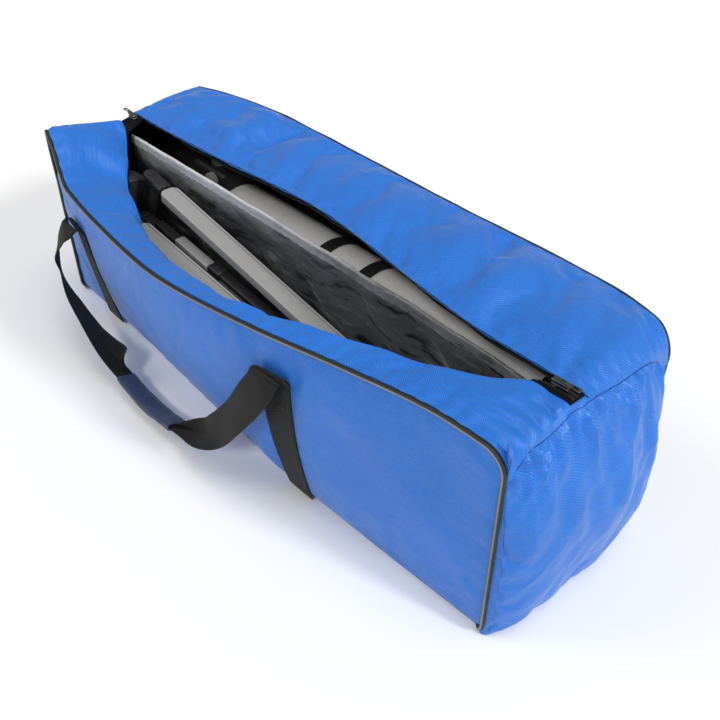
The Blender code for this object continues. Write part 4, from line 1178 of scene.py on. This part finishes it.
def piping_line(side):
    """Closed line of the cord round a side panel."""
    reach = HALF_LENGTH - PIPING_INSET
    lowest = WALL_FOOT + PIPING_INSET
    left, right = (radius - PIPING_INSET for radius in CORNER_RADII)
    steps = 150
    shares = [k / 40 for k in range(1, 40)]
    turns = [math.pi / 2 * k / 10 for k in range(1, 11)]
    low_x, high_x = left - reach, reach - right
    top = [(low_x + (high_x - low_x) * k / steps, 0.0) for k in range(steps + 1)]
    before = [(low_x - left * math.sin(a), left * (1 - math.cos(a))) for a in reversed(turns)]
    after = [(high_x + right * math.sin(a), right * (1 - math.cos(a))) for a in turns]
    top = [(x, rim(side, x)[1] - PIPING_INSET - drop) for x, drop in before + top + after]
    bend = [(reach - FOOT_CORNER * (1 - math.sin(a)), lowest + FOOT_CORNER * (1 - math.cos(a)))
            for a in [0.0] + turns]
    turned_up = lowest + FOOT_CORNER
    fall = [(reach, top[-1][1] + (turned_up - top[-1][1]) * share) for share in shares] + bend[::-1]
    flat = reach - FOOT_CORNER
    along = [(flat - 2 * flat * k / steps, lowest) for k in range(1, steps)]
    rise = [(-x, z) for x, z in bend]
    rise += [(-reach, turned_up + (top[0][1] - turned_up) * share) for share in shares]
    points = []
    for x, z in top + fall + along + rise:
        wobble = 0.0007 * noise.noise(Vector((x * 16, z * 16, 71.0 * side)))
        tuck = FOOT_TUCK * ease(0.016, 0.004, z) * ease(-0.004, 0.020, reach - abs(x))
        out = PIPING_OUT + wobble - tuck
        points.append(Vector((x, wall_face(side, x, z) + side * out, z + wobble)))
    return points


def piping(side, label, node):
    """Cord round a side panel. Its map runs along it in metres and once round."""
    points = piping_line(side)
    count = len(points)
    lengths = [0.0]
    for k in range(count):
        lengths.append(lengths[-1] + (points[(k + 1) % count] - points[k]).length)
    bm = unit_grid(count, PIPING_SIDES)
    sewn = bm.loops.layers.uv.new(CLOTH_UV)
    for face in bm.faces:
        for loop in face.loops:
            loop[sewn].uv = (lengths[round(loop.vert.co.x * count)], loop.vert.co.y)
    for vert in bm.verts:
        k = round(vert.co.x * count)
        way = (points[(k + 1) % count] - points[(k - 1) % count]).normalized()
        aside = way.cross(Vector((0, side, 0))).normalized()
        out = aside.cross(way)
        turn = 2 * math.pi * vert.co.y
        vert.co = points[k % count] + (-out * math.cos(turn) + aside * math.sin(turn)) * PIPING_RADIUS
    bmesh.ops.remove_doubles(bm, verts=bm.verts, dist=1e-6)
    new_piece(label + "_cord", bm, [PIPING], "bag", [node])


def divider_y(x, z):
    """Crumple of the lining between the compartments."""
    top = through(DIVIDER_TOP, x)[0] + HEM_HEIGHT
    share = min(max(z / top, 0.0), 1.0)
    grow = ease(0.12, 0.60, share) * (1 - 0.80 * ease(0.78, 0.98, share))
    right = ease(-0.25, 0.15, x) * ease(0.46, 0.34, x)
    lean = (fold(DIVIDER_STEEP, x, z) * (0.45 + 0.55 * right) + fold(DIVIDER_FINE, x, z)) * grow
    limit = DIVIDER_LEAN[lean <= 0]
    return limit * math.tanh(lean / limit)


def divider():
    """Lining between the compartments, and the folded hem along its top."""
    reach = HALF_LENGTH - DIVIDER_ROOM

    def wall(u, v, layer):
        x = (2 * u - 1) * reach
        z = FLOOR + (through(DIVIDER_TOP, x)[0] + 0.002 - FLOOR) * v
        return x, divider_y(x, z) + DIVIDER_THICK * (layer - 0.5), z

    def hem(u, v, layer):
        x = (2 * u - 1) * reach
        wave = 0.0016 * noise.noise(Vector((x * 15, 91.0, 0.0)))
        low = through(DIVIDER_TOP, x)[0] - HEM_LAP
        z = low + (HEM_HEIGHT + HEM_LAP + wave) * v
        half = HEM_HALF_THICK * math.sqrt(max(0.0, 1 - max(0.0, (v - 0.7) / 0.3) ** 2)) + 0.0002
        pucker = 0.0006 * math.sin(x * 380 + 3 * noise.noise(Vector((x * 30, 0, 0)))) * (1 - v)
        return x, divider_y(x, z) + (half + pucker) * (2 * layer - 1), z

    sheet = cloth("divider_cloth", 260, 64, wall, (0.97, 0.25), [SATIN], "bag", ["divider"])
    cloth("divider_hem", 260, 10, hem, (0.97, 0.016), [SATIN_HEM], "bag", ["divider_binding"])


def middle_of(node):
    low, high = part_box(node)
    return (Vector(low) + Vector(high)) / 2


def tapered(bm, middle, length, side, width_at):
    """A shape made narrower by width_at(share), with share from 0 at its inner end to 1 at its outer end."""
    for vert in bm.verts:
        share = (vert.co.x - middle.x) * side / length + 0.5
        vert.co.y = middle.y + (vert.co.y - middle.y) * width_at(share)
    return bm


def slider_width(share):
    return 0.52 + 0.30 * ease(0.0, 0.7, 1 - share)


def tab_width(share):
    return 0.50 + 0.28 * ease(0.15, 0.6, share)


def zip_ends():
    """Slider, pull tab and cloth patch at both ends of the zip."""
    for side, label in ((-1, "left"), (1, "right")):
        length, width = SLIDER_SIZE[:2]
        middle = middle_of(f"{label}_slider")
        crown = block_mesh((length, width, 0.0024), middle + Vector((0, 0, 0.0022)), 0.0009)
        base = block_mesh((length * 0.92, width, 0.0022), middle - Vector((0, 0, 0.0023)), 0.0008)
        post = block_mesh((0.0060, 0.0034, 0.0050), middle + Vector((-side * 0.006, 0, 0)), 0.0006)
        plates = [tapered(plate, middle, length, side, slider_width) for plate in (crown, base)]
        new_piece(f"{label}_slider_body", joined(*plates, post), [ZIP_METAL], "bag",
                  [f"{label}_slider"])
        length, width, thick = TAB_SIZE
        middle = middle_of(f"{label}_pull_tab")
        plate = block_mesh((length, width, thick * 0.9), middle, 0.0005)
        plate = tapered(plate, middle, length, side, tab_width)
        window = block_mesh((0.0085, 0.0034, 0.02), middle + Vector((side * 0.0052, 0, 0)), 0.0012)
        eye = block_mesh((0.0042, 0.0024, 0.02), middle - Vector((side * 0.0095, 0, 0)), 0.0008)
        new_piece(f"{label}_tab_plate", carved(plate, window, eye), [ZIP_METAL], f"{label}_tab",
                  [f"{label}_pull_tab"])
        zip_patch(side, label)


def zip_patch(side, label):
    """Dark cloth under the closed end of the zip, from one flap to the other."""
    def place(u, v, layer):
        x = side * (PATCH_SPAN[0] + (PATCH_SPAN[1] - PATCH_SPAN[0]) * u)
        front, front_way, _ = FRONT_SHAPE.hem_at(x)
        rear, rear_way, _ = REAR_SHAPE.hem_at(x)
        spot = (front - front_way * PATCH_UNDER).lerp(rear - rear_way * PATCH_UNDER, v)
        return spot - Vector((0, 0, 0.0008 + 0.0016 * layer))

    cloth(f"{label}_zip_patch", 16, 16, place, (0.033, 0.034), [ZIP_TAPE], "bag",
          [f"{label}_zip_end"])


def selvedge(u):
    """Thickness of webbing across its width: less at both edges."""
    return WEBBING_THICK * (1 - 0.3 * ease(0.42, 0.5, abs(u - 0.5)))


def strap_line(side, x, top):
    """Middle line of a sewn strap, up its panel and over at its top: (y, z) outwards from the panel."""
    low = WALL_FOOT + 0.002
    heights = [low + (top - low) * k / 30 for k in range(31)]
    sewn = [Vector((wall_dressed(side, x, z) * side + WEBBING_THICK / 2 + GAP, z)) for z in heights]
    face = wall_face(side, x, top) * side
    return sewn + [Vector((face + out, top + rise)) for out, rise in STRAP_CURL]


def strap(side, label, node, x, top):
    columns, rows = 14, 60

    def across(u):
        return x + WEBBING * (u - 0.5)

    lines = [evenly(strap_line(side, across(k / columns), top), rows)[0] for k in range(columns + 1)]

    def place(u, v, layer):
        spot, way = lines[round(u * columns)][round(v * rows)]
        point = spot - Vector((-way.y, way.x)) * (selvedge(u) * (0.5 - layer))
        return across(u), side * point.x, point.y

    turn_map(cloth(label, columns, rows, place, (WEBBING, top), [WEB], "bag", [node]))
    box_stitch(side, label, x, top)


def turn_map(piece):
    """Swaps the cloth map's directions, so that it runs along the webbing first."""
    for loop in piece.data.uv_layers[CLOTH_UV].data:
        loop.uv = (loop.uv[1], loop.uv[0])


def box_stitch(side, label, x, top):
    """Rows of stitches along a strap's edges, and a crossed box near its top."""
    spots = []
    left, right = x - STITCH_INSET, x + STITCH_INSET
    foot, end = 0.014, top - 0.004
    low, high = top - 0.046, top - 0.006
    out = side * (WEBBING_THICK + 0.0006)
    step = 0.004
    for ax, az, bx, bz in ((left, foot, left, end), (right, foot, right, end), (left, high, right, high),
                           (left, low, right, low), (left, low, right, high), (left, high, right, low)):
        count = max(2, int(math.hypot(bx - ax, bz - az) / STITCH_PITCH))
        for k in range(count):
            share = (k + 0.5) / count
            px, pz = ax + (bx - ax) * share, az + (bz - az) * share
            y = wall_dressed(side, px, pz)
            slope = (wall_dressed(side, px, pz + step) - y) / step
            along = Vector((bx - ax, slope * (bz - az), bz - az)).normalized()
            spots.append((Vector((px, y + out, pz)), along, Vector((0, side, 0))))
    new_piece(label + "_stitches", beads(spots, STRAP_STITCH), [BLACK_THREAD], "bag")


def straps():
    """The four sewn straps, and the two stretches that join them under the floor."""
    for k, label in enumerate(("left", "right")):
        strap(FRONT, f"front_strap_web_{label}", f"front_strap_{label}", STRAP_X[k], STRAP_TOP[k])
        strap(REAR, f"back_strap_web_{label}", f"back_strap_{label}", STRAP_X[k], STRAP_TOP[k])
        low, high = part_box(f"under_strap_{label}")

        def place(u, v, layer):
            return (low[0] + (high[0] - low[0]) * u, low[1] + (high[1] - low[1]) * v,
                    low[2] + 0.0002 + 0.0016 * layer)

        size = (WEBBING, high[1] - low[1])
        turn_map(cloth(f"under_strap_web_{label}", 14, 60, place, size, [WEB], "bag",
                       [f"under_strap_{label}"]))


def strap_end(side, k):
    """Where a hand loop meets its strap: place, direction across, share of the width."""
    x, top = STRAP_X[k], STRAP_TOP[k]
    out = STRAP_CURL[-1][0] + LOOP_START[0]
    lean = (wall_face(side, x + WEBBING / 2, top) - wall_face(side, x - WEBBING / 2, top)) / WEBBING
    spot = (x, wall_face(side, x, top) + side * out, top + STRAP_CURL[-1][1] + LOOP_START[1])
    return spot, (1.0, lean, 0.0), 1.0


def loop_knots(side):
    """Rows of a hand loop from the right strap to the left one, each led by its share of the way."""
    spots = [strap_end(side, 1)]
    for (x, y, z), (a, b, c), width in LOOP:
        if side == REAR:
            y = -y + wall_face(REAR, x, LOOP_LEVEL) + wall_face(FRONT, x, LOOP_LEVEL)
            b = -b
        spots.append(((x, y, z), (a, b, c), width))
    spots.append(strap_end(side, 0))
    return [(k / (len(spots) - 1), *spot, *across, width) for k, (spot, across, width) in enumerate(spots)]


def loop_frame(share, knots):
    """Place, direction across, normal and share of the width on a hand loop."""
    values = through(knots, share)
    ahead = through(knots, min(share + LOOP_TANGENT, 1.0))
    behind = through(knots, max(share - LOOP_TANGENT, 0.0))
    along = (Vector(ahead[:3]) - Vector(behind[:3])).normalized()
    across = Vector(values[3:6])
    across = (across - along * across.dot(along)).normalized()
    return Vector(values[:3]), across, along.cross(across), min(values[6], 1.0)


def hand_loop(side, label, node, body):
    """Webbing of a hand loop. Towards the grip its rear half is folded over onto the front half."""
    knots = loop_knots(side)
    outside = -side

    def place(u, v, layer):
        centre, across, normal, width = loop_frame(v, knots)
        lap = min((1 - width) / (1 - GRIP_SHARE), 1.0)
        turn = math.pi * lap
        from_fold = WEBBING * (u - 0.5)
        bend = min(max(-from_fold, 0.0) / FOLD_RADIUS, turn)
        rest = max(-from_fold - FOLD_RADIUS * turn, 0.0)
        aside = max(from_fold, 0.0) - FOLD_RADIUS * math.sin(bend) - rest * math.cos(turn) - WEBBING / 4 * lap
        rise = FOLD_RADIUS * (1 - math.cos(bend)) + rest * math.sin(turn) - FOLD_RADIUS * lap
        face = normal * (outside * math.cos(bend)) + across * math.sin(bend)
        cup = 0.0010 * math.cos(math.pi * (u - 0.5)) * math.sin(9 * v) * (1 - lap)
        out = selvedge(u) * (layer - 0.5) + cup
        return centre + across * aside + normal * (outside * rise) + face * out

    turn_map(cloth(label, 24, 300, place, (WEBBING, 0.80), [WEB], body, [node]))


def grip_wrap():
    """Padded sleeve round the folded stretch of the front loop, its edges sewn together underneath."""
    knots = loop_knots(FRONT)

    def place(u, v, layer):
        share = (GRIP_STEPS[0] + (GRIP_STEPS[1] - GRIP_STEPS[0]) * v) / LOOP_STEPS
        centre, across, normal, width = loop_frame(share, knots)
        turn = 2 * math.pi * (0.02 + 0.96 * u) - math.pi / 2
        wide = math.copysign(abs(math.cos(turn)) ** 0.45, math.cos(turn))
        thick = math.copysign(abs(math.sin(turn)) ** 0.60, math.sin(turn))
        puff = 0.0010 * math.sin(math.pi * v) + 0.0008 * noise.noise(Vector((v * 6, u * 9, 77.0)))
        grow = (0.0016 + puff) * (1 - layer)
        return (centre + across * wide * (WEBBING * width / 2 + 0.0008 + grow)
                + normal * thick * (FOLD_RADIUS + WEBBING_THICK / 2 + 0.0006 + grow * 1.3))

    piece = cloth("grip_wrap_cloth", 72, 60, place, (0.075, 0.12), [NAVY_CLOTH], "front_handle",
                  ["grip_wrap"])


def black_piece(label, bm, body, node):
    new_piece(label, bm, [BLACK_PLASTIC], body, [node])


def tube_turned(profile, x, bevel, steps=96):
    """A shape turned about the telescope's own axis."""
    return turned_mesh(profile, (1, 0, 0), (x, TUBE_Y, TUBE_Z), steps, bevel)


def telescope():
    """Tube with its end ring, dust cover, rear cell, clamps and dovetail bar."""
    hole = turned_mesh(rod(DRAWTUBE_RADIUS + 0.006, TUBE_RADIUS / 2), (0, 0, 1),
                       (FOCUSER_X, TUBE_Y, TUBE_Z + TUBE_RADIUS), 48)
    tube = tube_turned(pipe(TUBE_RADIUS, TUBE_RADIUS - TUBE_WALL, TUBE_HALF_LENGTH), 0.0, 0.0006, 128)
    new_piece("tube_shell", carved(tube, hole), [TUBE_PAINT_WITH_PAINTED_LIGHT], "telescope", ["telescope_tube"])
    half = END_RING_LENGTH / 2
    ring_x = -(TUBE_HALF_LENGTH + GAP + half)
    profile = ((END_RING_BORE, -half), (0.0655, -half), (END_RING_RADIUS, -half + 0.004),
               (END_RING_RADIUS, half - 0.003), (END_LAND_RADIUS, half - 0.003), (END_LAND_RADIUS, half),
               (END_RING_BORE, half))
    black_piece("front_ring_moulding", tube_turned(profile, ring_x, 0.0007), "telescope", "tube_front_ring")
    half = CAP_HEIGHT / 2
    cap_x = ring_x - END_RING_LENGTH / 2 - GAP - half
    profile = ((0.0, -half + 0.0016), (0.050, -half + 0.0016), (0.052, -half), (0.066, -half), (0.066, half),
               (0.0, half))
    black_piece("dust_cover_moulding", tube_turned(profile, cap_x, 0.0006), "telescope", "tube_dust_cover")
    half = CELL_LENGTH / 2
    cell_x = TUBE_HALF_LENGTH + GAP + half
    profile = ((0.0, -half), (END_LAND_RADIUS, -half), (END_LAND_RADIUS, -half + 0.003),
               (END_RING_RADIUS, -half + 0.003), (END_RING_RADIUS, half - 0.003), (0.064, half), (0.0, half))
    black_piece("rear_cell_moulding", tube_turned(profile, cell_x, 0.0007), "telescope", "tube_rear_cell")
    half = CLAMP_WIDTH / 2
    inner = TUBE_RADIUS + GAP
    outer = inner + CLAMP_THICK
    foot_low = TUBE_Z - outer - CLAMP_FOOT[1] + 0.004
    foot_height = CLAMP_FOOT[1] - 0.005
    profile = ((inner, -half), (outer - 0.001, -half), (outer, -half + 0.003), (outer - 0.0008, 0.0),
               (outer, half - 0.003), (outer - 0.001, half), (inner, half))
    for k, x in enumerate(CLAMP_X, start=1):
        middle = (x, TUBE_Y, foot_low + foot_height / 2)
        foot = block_mesh((CLAMP_WIDTH, CLAMP_FOOT[0], foot_height), middle, 0.002)
        clamp = joined(tube_turned(profile, x, 0.0004), foot)
        black_piece(f"clamp_band_{k}", clamp, "telescope", f"tube_clamp_{k}")
    bar_top = foot_low - GAP
    bar_low = FLOOR + GAP
    middle = (sum(CLAMP_X) / 2, TUBE_Y, (bar_top + bar_low) / 2)
    bar = block_mesh((*BAR_SIZE, bar_top - bar_low), middle, 0.002)
    for vert in bar.verts:
        share = (vert.co.z - bar_low) / (bar_top - bar_low)
        vert.co.y = TUBE_Y + (vert.co.y - TUBE_Y) * (1.0 - 0.22 * share)
    black_piece("dovetail_casting", bar, "telescope", "dovetail_bar")


def focuser():
    """Saddle on the tube, drawtube with its cap, and the two knobs on their shaft."""
    on_tube = (FOCUSER_X, TUBE_Y, TUBE_Z)
    on_shaft = (SHAFT_X, TUBE_Y, SHAFT_Z)
    base = block_mesh(FOCUSER_SIZE, (FOCUSER_X, TUBE_Y, FOCUSER_TOP - FOCUSER_SIZE[2] / 2), 0.010, 0.0, 5)
    saddle = turned_mesh(rod(TUBE_RADIUS + GAP, 0.1), (1, 0, 0), on_tube, 96)
    bore = turned_mesh(rod(DRAWTUBE_RADIUS + 0.0006, 0.1), (0, 0, 1), on_tube, 48)
    shaft = turned_mesh(rod(SHAFT_RADIUS + 0.0006, 0.1), (0, 1, 0), on_shaft, 24)
    black_piece("focuser_saddle", carved(base, saddle, bore, shaft), "telescope", "focuser_base")
    low, high = DRAWTUBE_SPAN
    tube = turned_mesh(pipe(DRAWTUBE_RADIUS, DRAWTUBE_RADIUS - 0.002, (high - low) / 2), (0, 0, 1),
                       (FOCUSER_X, TUBE_Y, (low + high) / 2), 64, 0.0004)
    new_piece("drawtube_sleeve", tube, [BRIGHT_METAL], "drawtube", ["drawtube"])
    half = CAP_HEIGHT / 2
    profile = ((0.0, -half), (CAP_RADIUS, -half), (CAP_RADIUS, half), (0.013, half), (0.012, half - 0.001),
               (0.0, half - 0.001))
    cap = turned_mesh(profile, (0, 0, 1), (FOCUSER_X, TUBE_Y, high + GAP + half), 64, 0.0006)
    black_piece("eyepiece_cap_moulding", cap, "drawtube", "eyepiece_cap")
    inner = FOCUSER_SIZE[1] / 2 + SEAM
    outer = inner + KNOB_WIDTH
    knob = ((SHAFT_RADIUS, inner), (KNOB_RADIUS, inner), (KNOB_RADIUS, outer), (0.010, outer),
            (0.009, outer - 0.001), (0.0, outer - 0.001))
    twin = tuple((radius, -along) for radius, along in reversed(knob))
    knobs = turned_mesh(twin + knob, (0, 1, 0), on_shaft, 72, 0.0004)
    for vert in knobs.verts:
        away = Vector((vert.co.x - SHAFT_X, 0, vert.co.z - SHAFT_Z))
        if away.length > KNOB_RADIUS - 0.0006:
            turn = math.atan2(away.z, away.x)
            vert.co -= away.normalized() * 0.0006 * (0.5 + 0.5 * math.cos(36 * turn))
    new_piece("focus_knob_pair", knobs, [GREY_PAINT], "knobs", ["focus_knobs"])


def leg_spot(leg, x, depth):
    """A point in a leg's middle plane, depth below its top."""
    y, top, fall = LEGS[leg]
    return Vector((x, y, top - fall * (x - LEG_LEFT) - depth))


def leg_tilt(leg):
    return Matrix.Rotation(math.atan(LEGS[leg][2]), 4, "Y")


def stadium(length, width, depth, bevel):
    """Flat bar with round ends, lying along x."""
    bm = bmesh.new()
    bmesh.ops.create_circle(bm, cap_ends=True, segments=40, radius=width / 2)
    for vert in bm.verts:
        vert.co.x += (length / 2 - width / 2) * (1 if vert.co.x > 1e-6 else -1)
    grown = bmesh.ops.extrude_face_region(bm, geom=bm.faces[:])
    lid = [item for item in grown["geom"] if isinstance(item, bmesh.types.BMVert)]
    bmesh.ops.translate(bm, vec=(0, 0, depth), verts=lid)
    bmesh.ops.translate(bm, vec=(0, 0, -depth / 2), verts=bm.verts)
    bmesh.ops.recalc_face_normals(bm, faces=bm.faces)
    soften(bm, bevel, 3)
    return bm


def moved(bm, matrix):
    bmesh.ops.transform(bm, matrix=matrix, verts=bm.verts)
    return bm


def leg_bar(leg):
    """Extruded leg with rounded corners, a groove along its rear edge and screws at its hinge."""
    on_edge = LEG_SECTIONS[leg][1] > LEG_SECTIONS[leg][0]
    depth, width = sorted(LEG_SECTIONS[leg])
    bm = bmesh.new()
    bmesh.ops.create_cube(bm, size=1.0)
    bmesh.ops.scale(bm, vec=(LEG_LENGTH, width, depth), verts=bm.verts)
    upright = [edge for edge in bm.edges if abs(edge.verts[0].co.z - edge.verts[1].co.z) > depth / 2]
    bmesh.ops.bevel(bm, geom=upright, offset=LEG_CORNER, segments=8, profile=0.5, affect="EDGES", material=-1)
    soften(bm, 0.0014, 3)
    groove = block_mesh((LEG_LENGTH * 2, 0.0013, 0.0030), (0, width * 0.34, depth / 2), 0.0)
    shells = [carved(bm, groove)]
    for x, y in ((0.010, -0.004), (0.012, 0.006), (0.034, -0.006), (0.038, 0.004)):
        at = (-LEG_LENGTH / 2 + x, y, depth / 2)
        profile = ((0.0, -0.0005), (0.0024, -0.0005), (0.0024, 0.0004), (0.0010, 0.0007), (0.0, 0.0002))
        shells.append(turned_mesh(profile, (0, 0, 1), at, 20))
    roll = Matrix.Rotation(math.pi / 2 if on_edge else 0.0, 4, "X")
    middle = leg_spot(leg, LEG_LEFT + LEG_LENGTH / 2, LEG_SECTIONS[leg][1] / 2)
    return moved(joined(*shells), Matrix.Translation(middle) @ leg_tilt(leg) @ roll)


def tripod():
    """Hub and the three folded legs."""
    half = HUB_LENGTH / 2
    profile = ((0.0, -half), (0.040, -half), (0.044, -half + 0.006), (HUB_RADIUS, -half + 0.010),
               (HUB_RADIUS, half - 0.008), (0.046, half), (0.0, half))
    spot = (LEG_LEFT - HINGE_BLOCK[0] - HUB_GAP - half, HUB_Y, HUB_Z)
    black_piece("hub_casting", turned_mesh(profile, (1, 0, 0), spot, 64, 0.0012), "tripod", "tripod_hub")
    for leg in range(3):
        new_piece(f"leg_extrusion_{leg + 1}", leg_bar(leg), [GREY_PAINT], "tripod",
                  [f"leg_{leg + 1}"])
        leg_hinge(leg)
        leg_end(leg)


def leg_hinge(leg):
    """Hinge arm at the hub's end of a leg, with its boss and pin. The third leg has a sleeve as well."""
    width, depth = LEG_SECTIONS[leg]
    length, arm_width, arm_depth = HINGE_BLOCK
    pin = (HINGE_PIN_X, 0, 0)
    shells = [stadium(*HINGE_BLOCK, 0.0022),
              block_mesh((0.020, arm_width + 0.003, arm_depth - 0.004), (0.017, 0, 0), 0.002),
              turned_mesh(rod(0.0070, arm_depth / 2 + 0.0014), (0, 0, 1), pin, 32, 0.0008),
              turned_mesh(rod(0.0032, arm_depth / 2 + 0.0022), (0, 0, 1), pin, 6, 0.0004)]
    if depth > width:
        sleeve = (SLEEVE_LENGTH, width + 0.0024, depth + 0.0024)
        shells.append(block_mesh(sleeve, (length / 2 + SLEEVE_LENGTH / 2 - 0.004, 0, 0), 0.0016))
    spot = leg_spot(leg, LEG_LEFT - 2 * GAP - length / 2, depth / 2)
    arm = moved(joined(*shells), Matrix.Translation(spot) @ leg_tilt(leg))
    black_piece(f"leg_hinge_arm_{leg + 1}", arm, "tripod", f"leg_hinge_{leg + 1}")


def leg_end(leg):
    """Bare inner tube and rubber foot at the far end of a leg."""
    depth = LEG_SECTIONS[leg][1] / 2
    pitch = math.atan(LEGS[leg][2])
    right = LEG_LEFT + LEG_LENGTH + 2 * GAP
    spot = leg_spot(leg, right + SHANK_LENGTH / 2, depth)
    shank = block_mesh((SHANK_LENGTH, *SHANK_SECTIONS[leg]), spot, 0.004, pitch, 4)
    new_piece(f"leg_inner_tube_{leg + 1}", shank, [BRIGHT_METAL], "tripod",
              [f"leg_shank_{leg + 1}"])
    spot = leg_spot(leg, right + SHANK_LENGTH + 2 * GAP + FOOT_LENGTH / 2, depth)
    half = FOOT_LENGTH / 2
    profile = ((0.0, -half), (0.0120, -half), (0.0120, -half + 0.006), (FOOT_RADIUS, -half + 0.007),
               (FOOT_RADIUS, -half + 0.012), (0.0118, -half + 0.013), (0.0118, half - 0.010),
               (FOOT_RADIUS, half - 0.008), (0.010, half), (0.0, half))
    foot = turned_mesh(profile, (math.cos(pitch), 0, -math.sin(pitch)), spot, 40, 0.0006)
    new_piece(f"leg_foot_cap_{leg + 1}", foot, [RUBBER], "tripod", [f"leg_foot_{leg + 1}"])


def spreader():
    """Spreader bar and its plate, lying on the leg that lies on its edge."""
    leg = len(LEGS) - 1
    pitch = math.atan(LEGS[leg][2])
    tilt = leg_tilt(leg)
    upright = tilt @ Vector((0, 0, 1))

    def above(x, height):
        return leg_spot(leg, x, -(GAP + height))

    thick = SPREADER_BAR[2]
    lie = Matrix.Translation(above(SPREADER_X, thick / 2)) @ tilt
    bracket = block_mesh((0.030, 0.023, 0.0126), above(RIVET_X[0] + 0.002, 0.0063), 0.0026, pitch)
    shells = [moved(stadium(*SPREADER_BAR, 0.0022), lie), bracket]
    washer = ((0.0, -0.002), (0.0075, -0.002), (0.0075, 0.0012), (0.0, 0.0012))
    shells += [turned_mesh(washer, upright, above(x, thick), 28, 0.0006) for x in RIVET_X]
    black_piece("spreader_arm", joined(*shells), "tripod", "spreader_bar")
    head = ((0.0, 0.0), (0.0045, 0.0), (0.0040, 0.0012), (0.0, 0.0022))
    rivets = [turned_mesh(head, upright, above(x, thick + 0.0012), 24) for x in RIVET_X]
    new_piece("spreader_rivets", joined(*rivets), [ZIP_METAL], "tripod")
    plate = block_mesh(SPREADER_PLATE, above(SPREADER_PLATE_X, SPREADER_PLATE[2] / 2), 0.0024, pitch)
    new_piece("spreader_plate_grey", plate, [GREY_PAINT], "tripod", ["spreader_plate"])


def mount():
    """Mount head packed under the legs."""
    body = block_mesh(MOUNT_SIZE, (MOUNT_X, HUB_Y, FLOOR + GAP + MOUNT_SIZE[2] / 2), 0.012, 0.0, 5)
    half = HOUSING_LENGTH / 2
    x = MOUNT_X + MOUNT_SIZE[0] / 2 + half - 0.010
    profile = ((0.0, -half), (HOUSING_RADIUS, -half), (HOUSING_RADIUS, half - 0.030), (0.029, half - 0.026),
               (0.029, half - 0.006), (0.024, half), (0.0, half))
    housing = turned_mesh(profile, (1, 0, 0), (x, HUB_Y, HOUSING_Z), 64, 0.001)
    black_piece("mount_casting", joined(body, housing), "tripod", "mount_head")


def studio():
    bm = bmesh.new()
    bmesh.ops.create_grid(bm, x_segments=4, y_segments=4, size=STUDIO_FLOOR)
    floor = bpy.data.objects.new("floor", bpy.data.meshes.new("floor"))
    bm.to_mesh(floor.data)
    bm.free()
    floor.data.materials.append(floor_finish())
    bpy.context.collection.objects.link(floor)
    world = bpy.context.scene.world or bpy.data.worlds.new("studio")
    bpy.context.scene.world = world
    world.use_nodes = True
    sky = world.node_tree.nodes["Background"].inputs
    sky["Color"].default_value = (1.0, 1.0, 1.0, 1.0)
    sky["Strength"].default_value = SKY
    for name, toward, spread, power in LIGHTS:
        light = bpy.data.lights.new(name, "SUN")
        light.energy = power
        light.angle = math.radians(spread)
        lamp = bpy.data.objects.new(name, light)
        lamp.location = Vector(toward) * 2
        lamp.rotation_euler = Vector(toward).to_track_quat("Z", "Y").to_euler()
        bpy.context.collection.objects.link(lamp)
    bpy.context.scene.view_settings.view_transform = "Standard"


def camera():
    data = bpy.data.cameras.new("camera")
    data.lens = CAMERA_LENS
    data.sensor_width = SENSOR
    data.clip_start = 0.01
    eye = bpy.data.objects.new("camera", data)
    eye.location = CAMERA_AT
    eye.rotation_euler = (math.radians(90 - CAMERA_ELEVATION), 0.0, math.radians(CAMERA_AZIMUTH))
    bpy.context.collection.objects.link(eye)
    bpy.context.scene.camera = eye


camera()
studio()
side_panel(FRONT, "front_panel_cloth", "front_panel")
side_panel(REAR, "back_panel_cloth", "back_panel")
end_panel(-1, "left_end_cloth", "left_end_panel")
end_panel(1, "right_end_cloth", "right_end_panel")
floor_piece()
top_flaps()
seam_linings()
piping(FRONT, "front_piping", "front_piping")
piping(REAR, "back_piping", "back_piping")
divider()
zip_ends()
straps()
hand_loop(FRONT, "front_loop_web", "front_handle_loop", "front_handle")
hand_loop(REAR, "back_loop_web", "back_handle_loop", "back_handle")
grip_wrap()
telescope()
focuser()
tripod()
spreader()
mount()
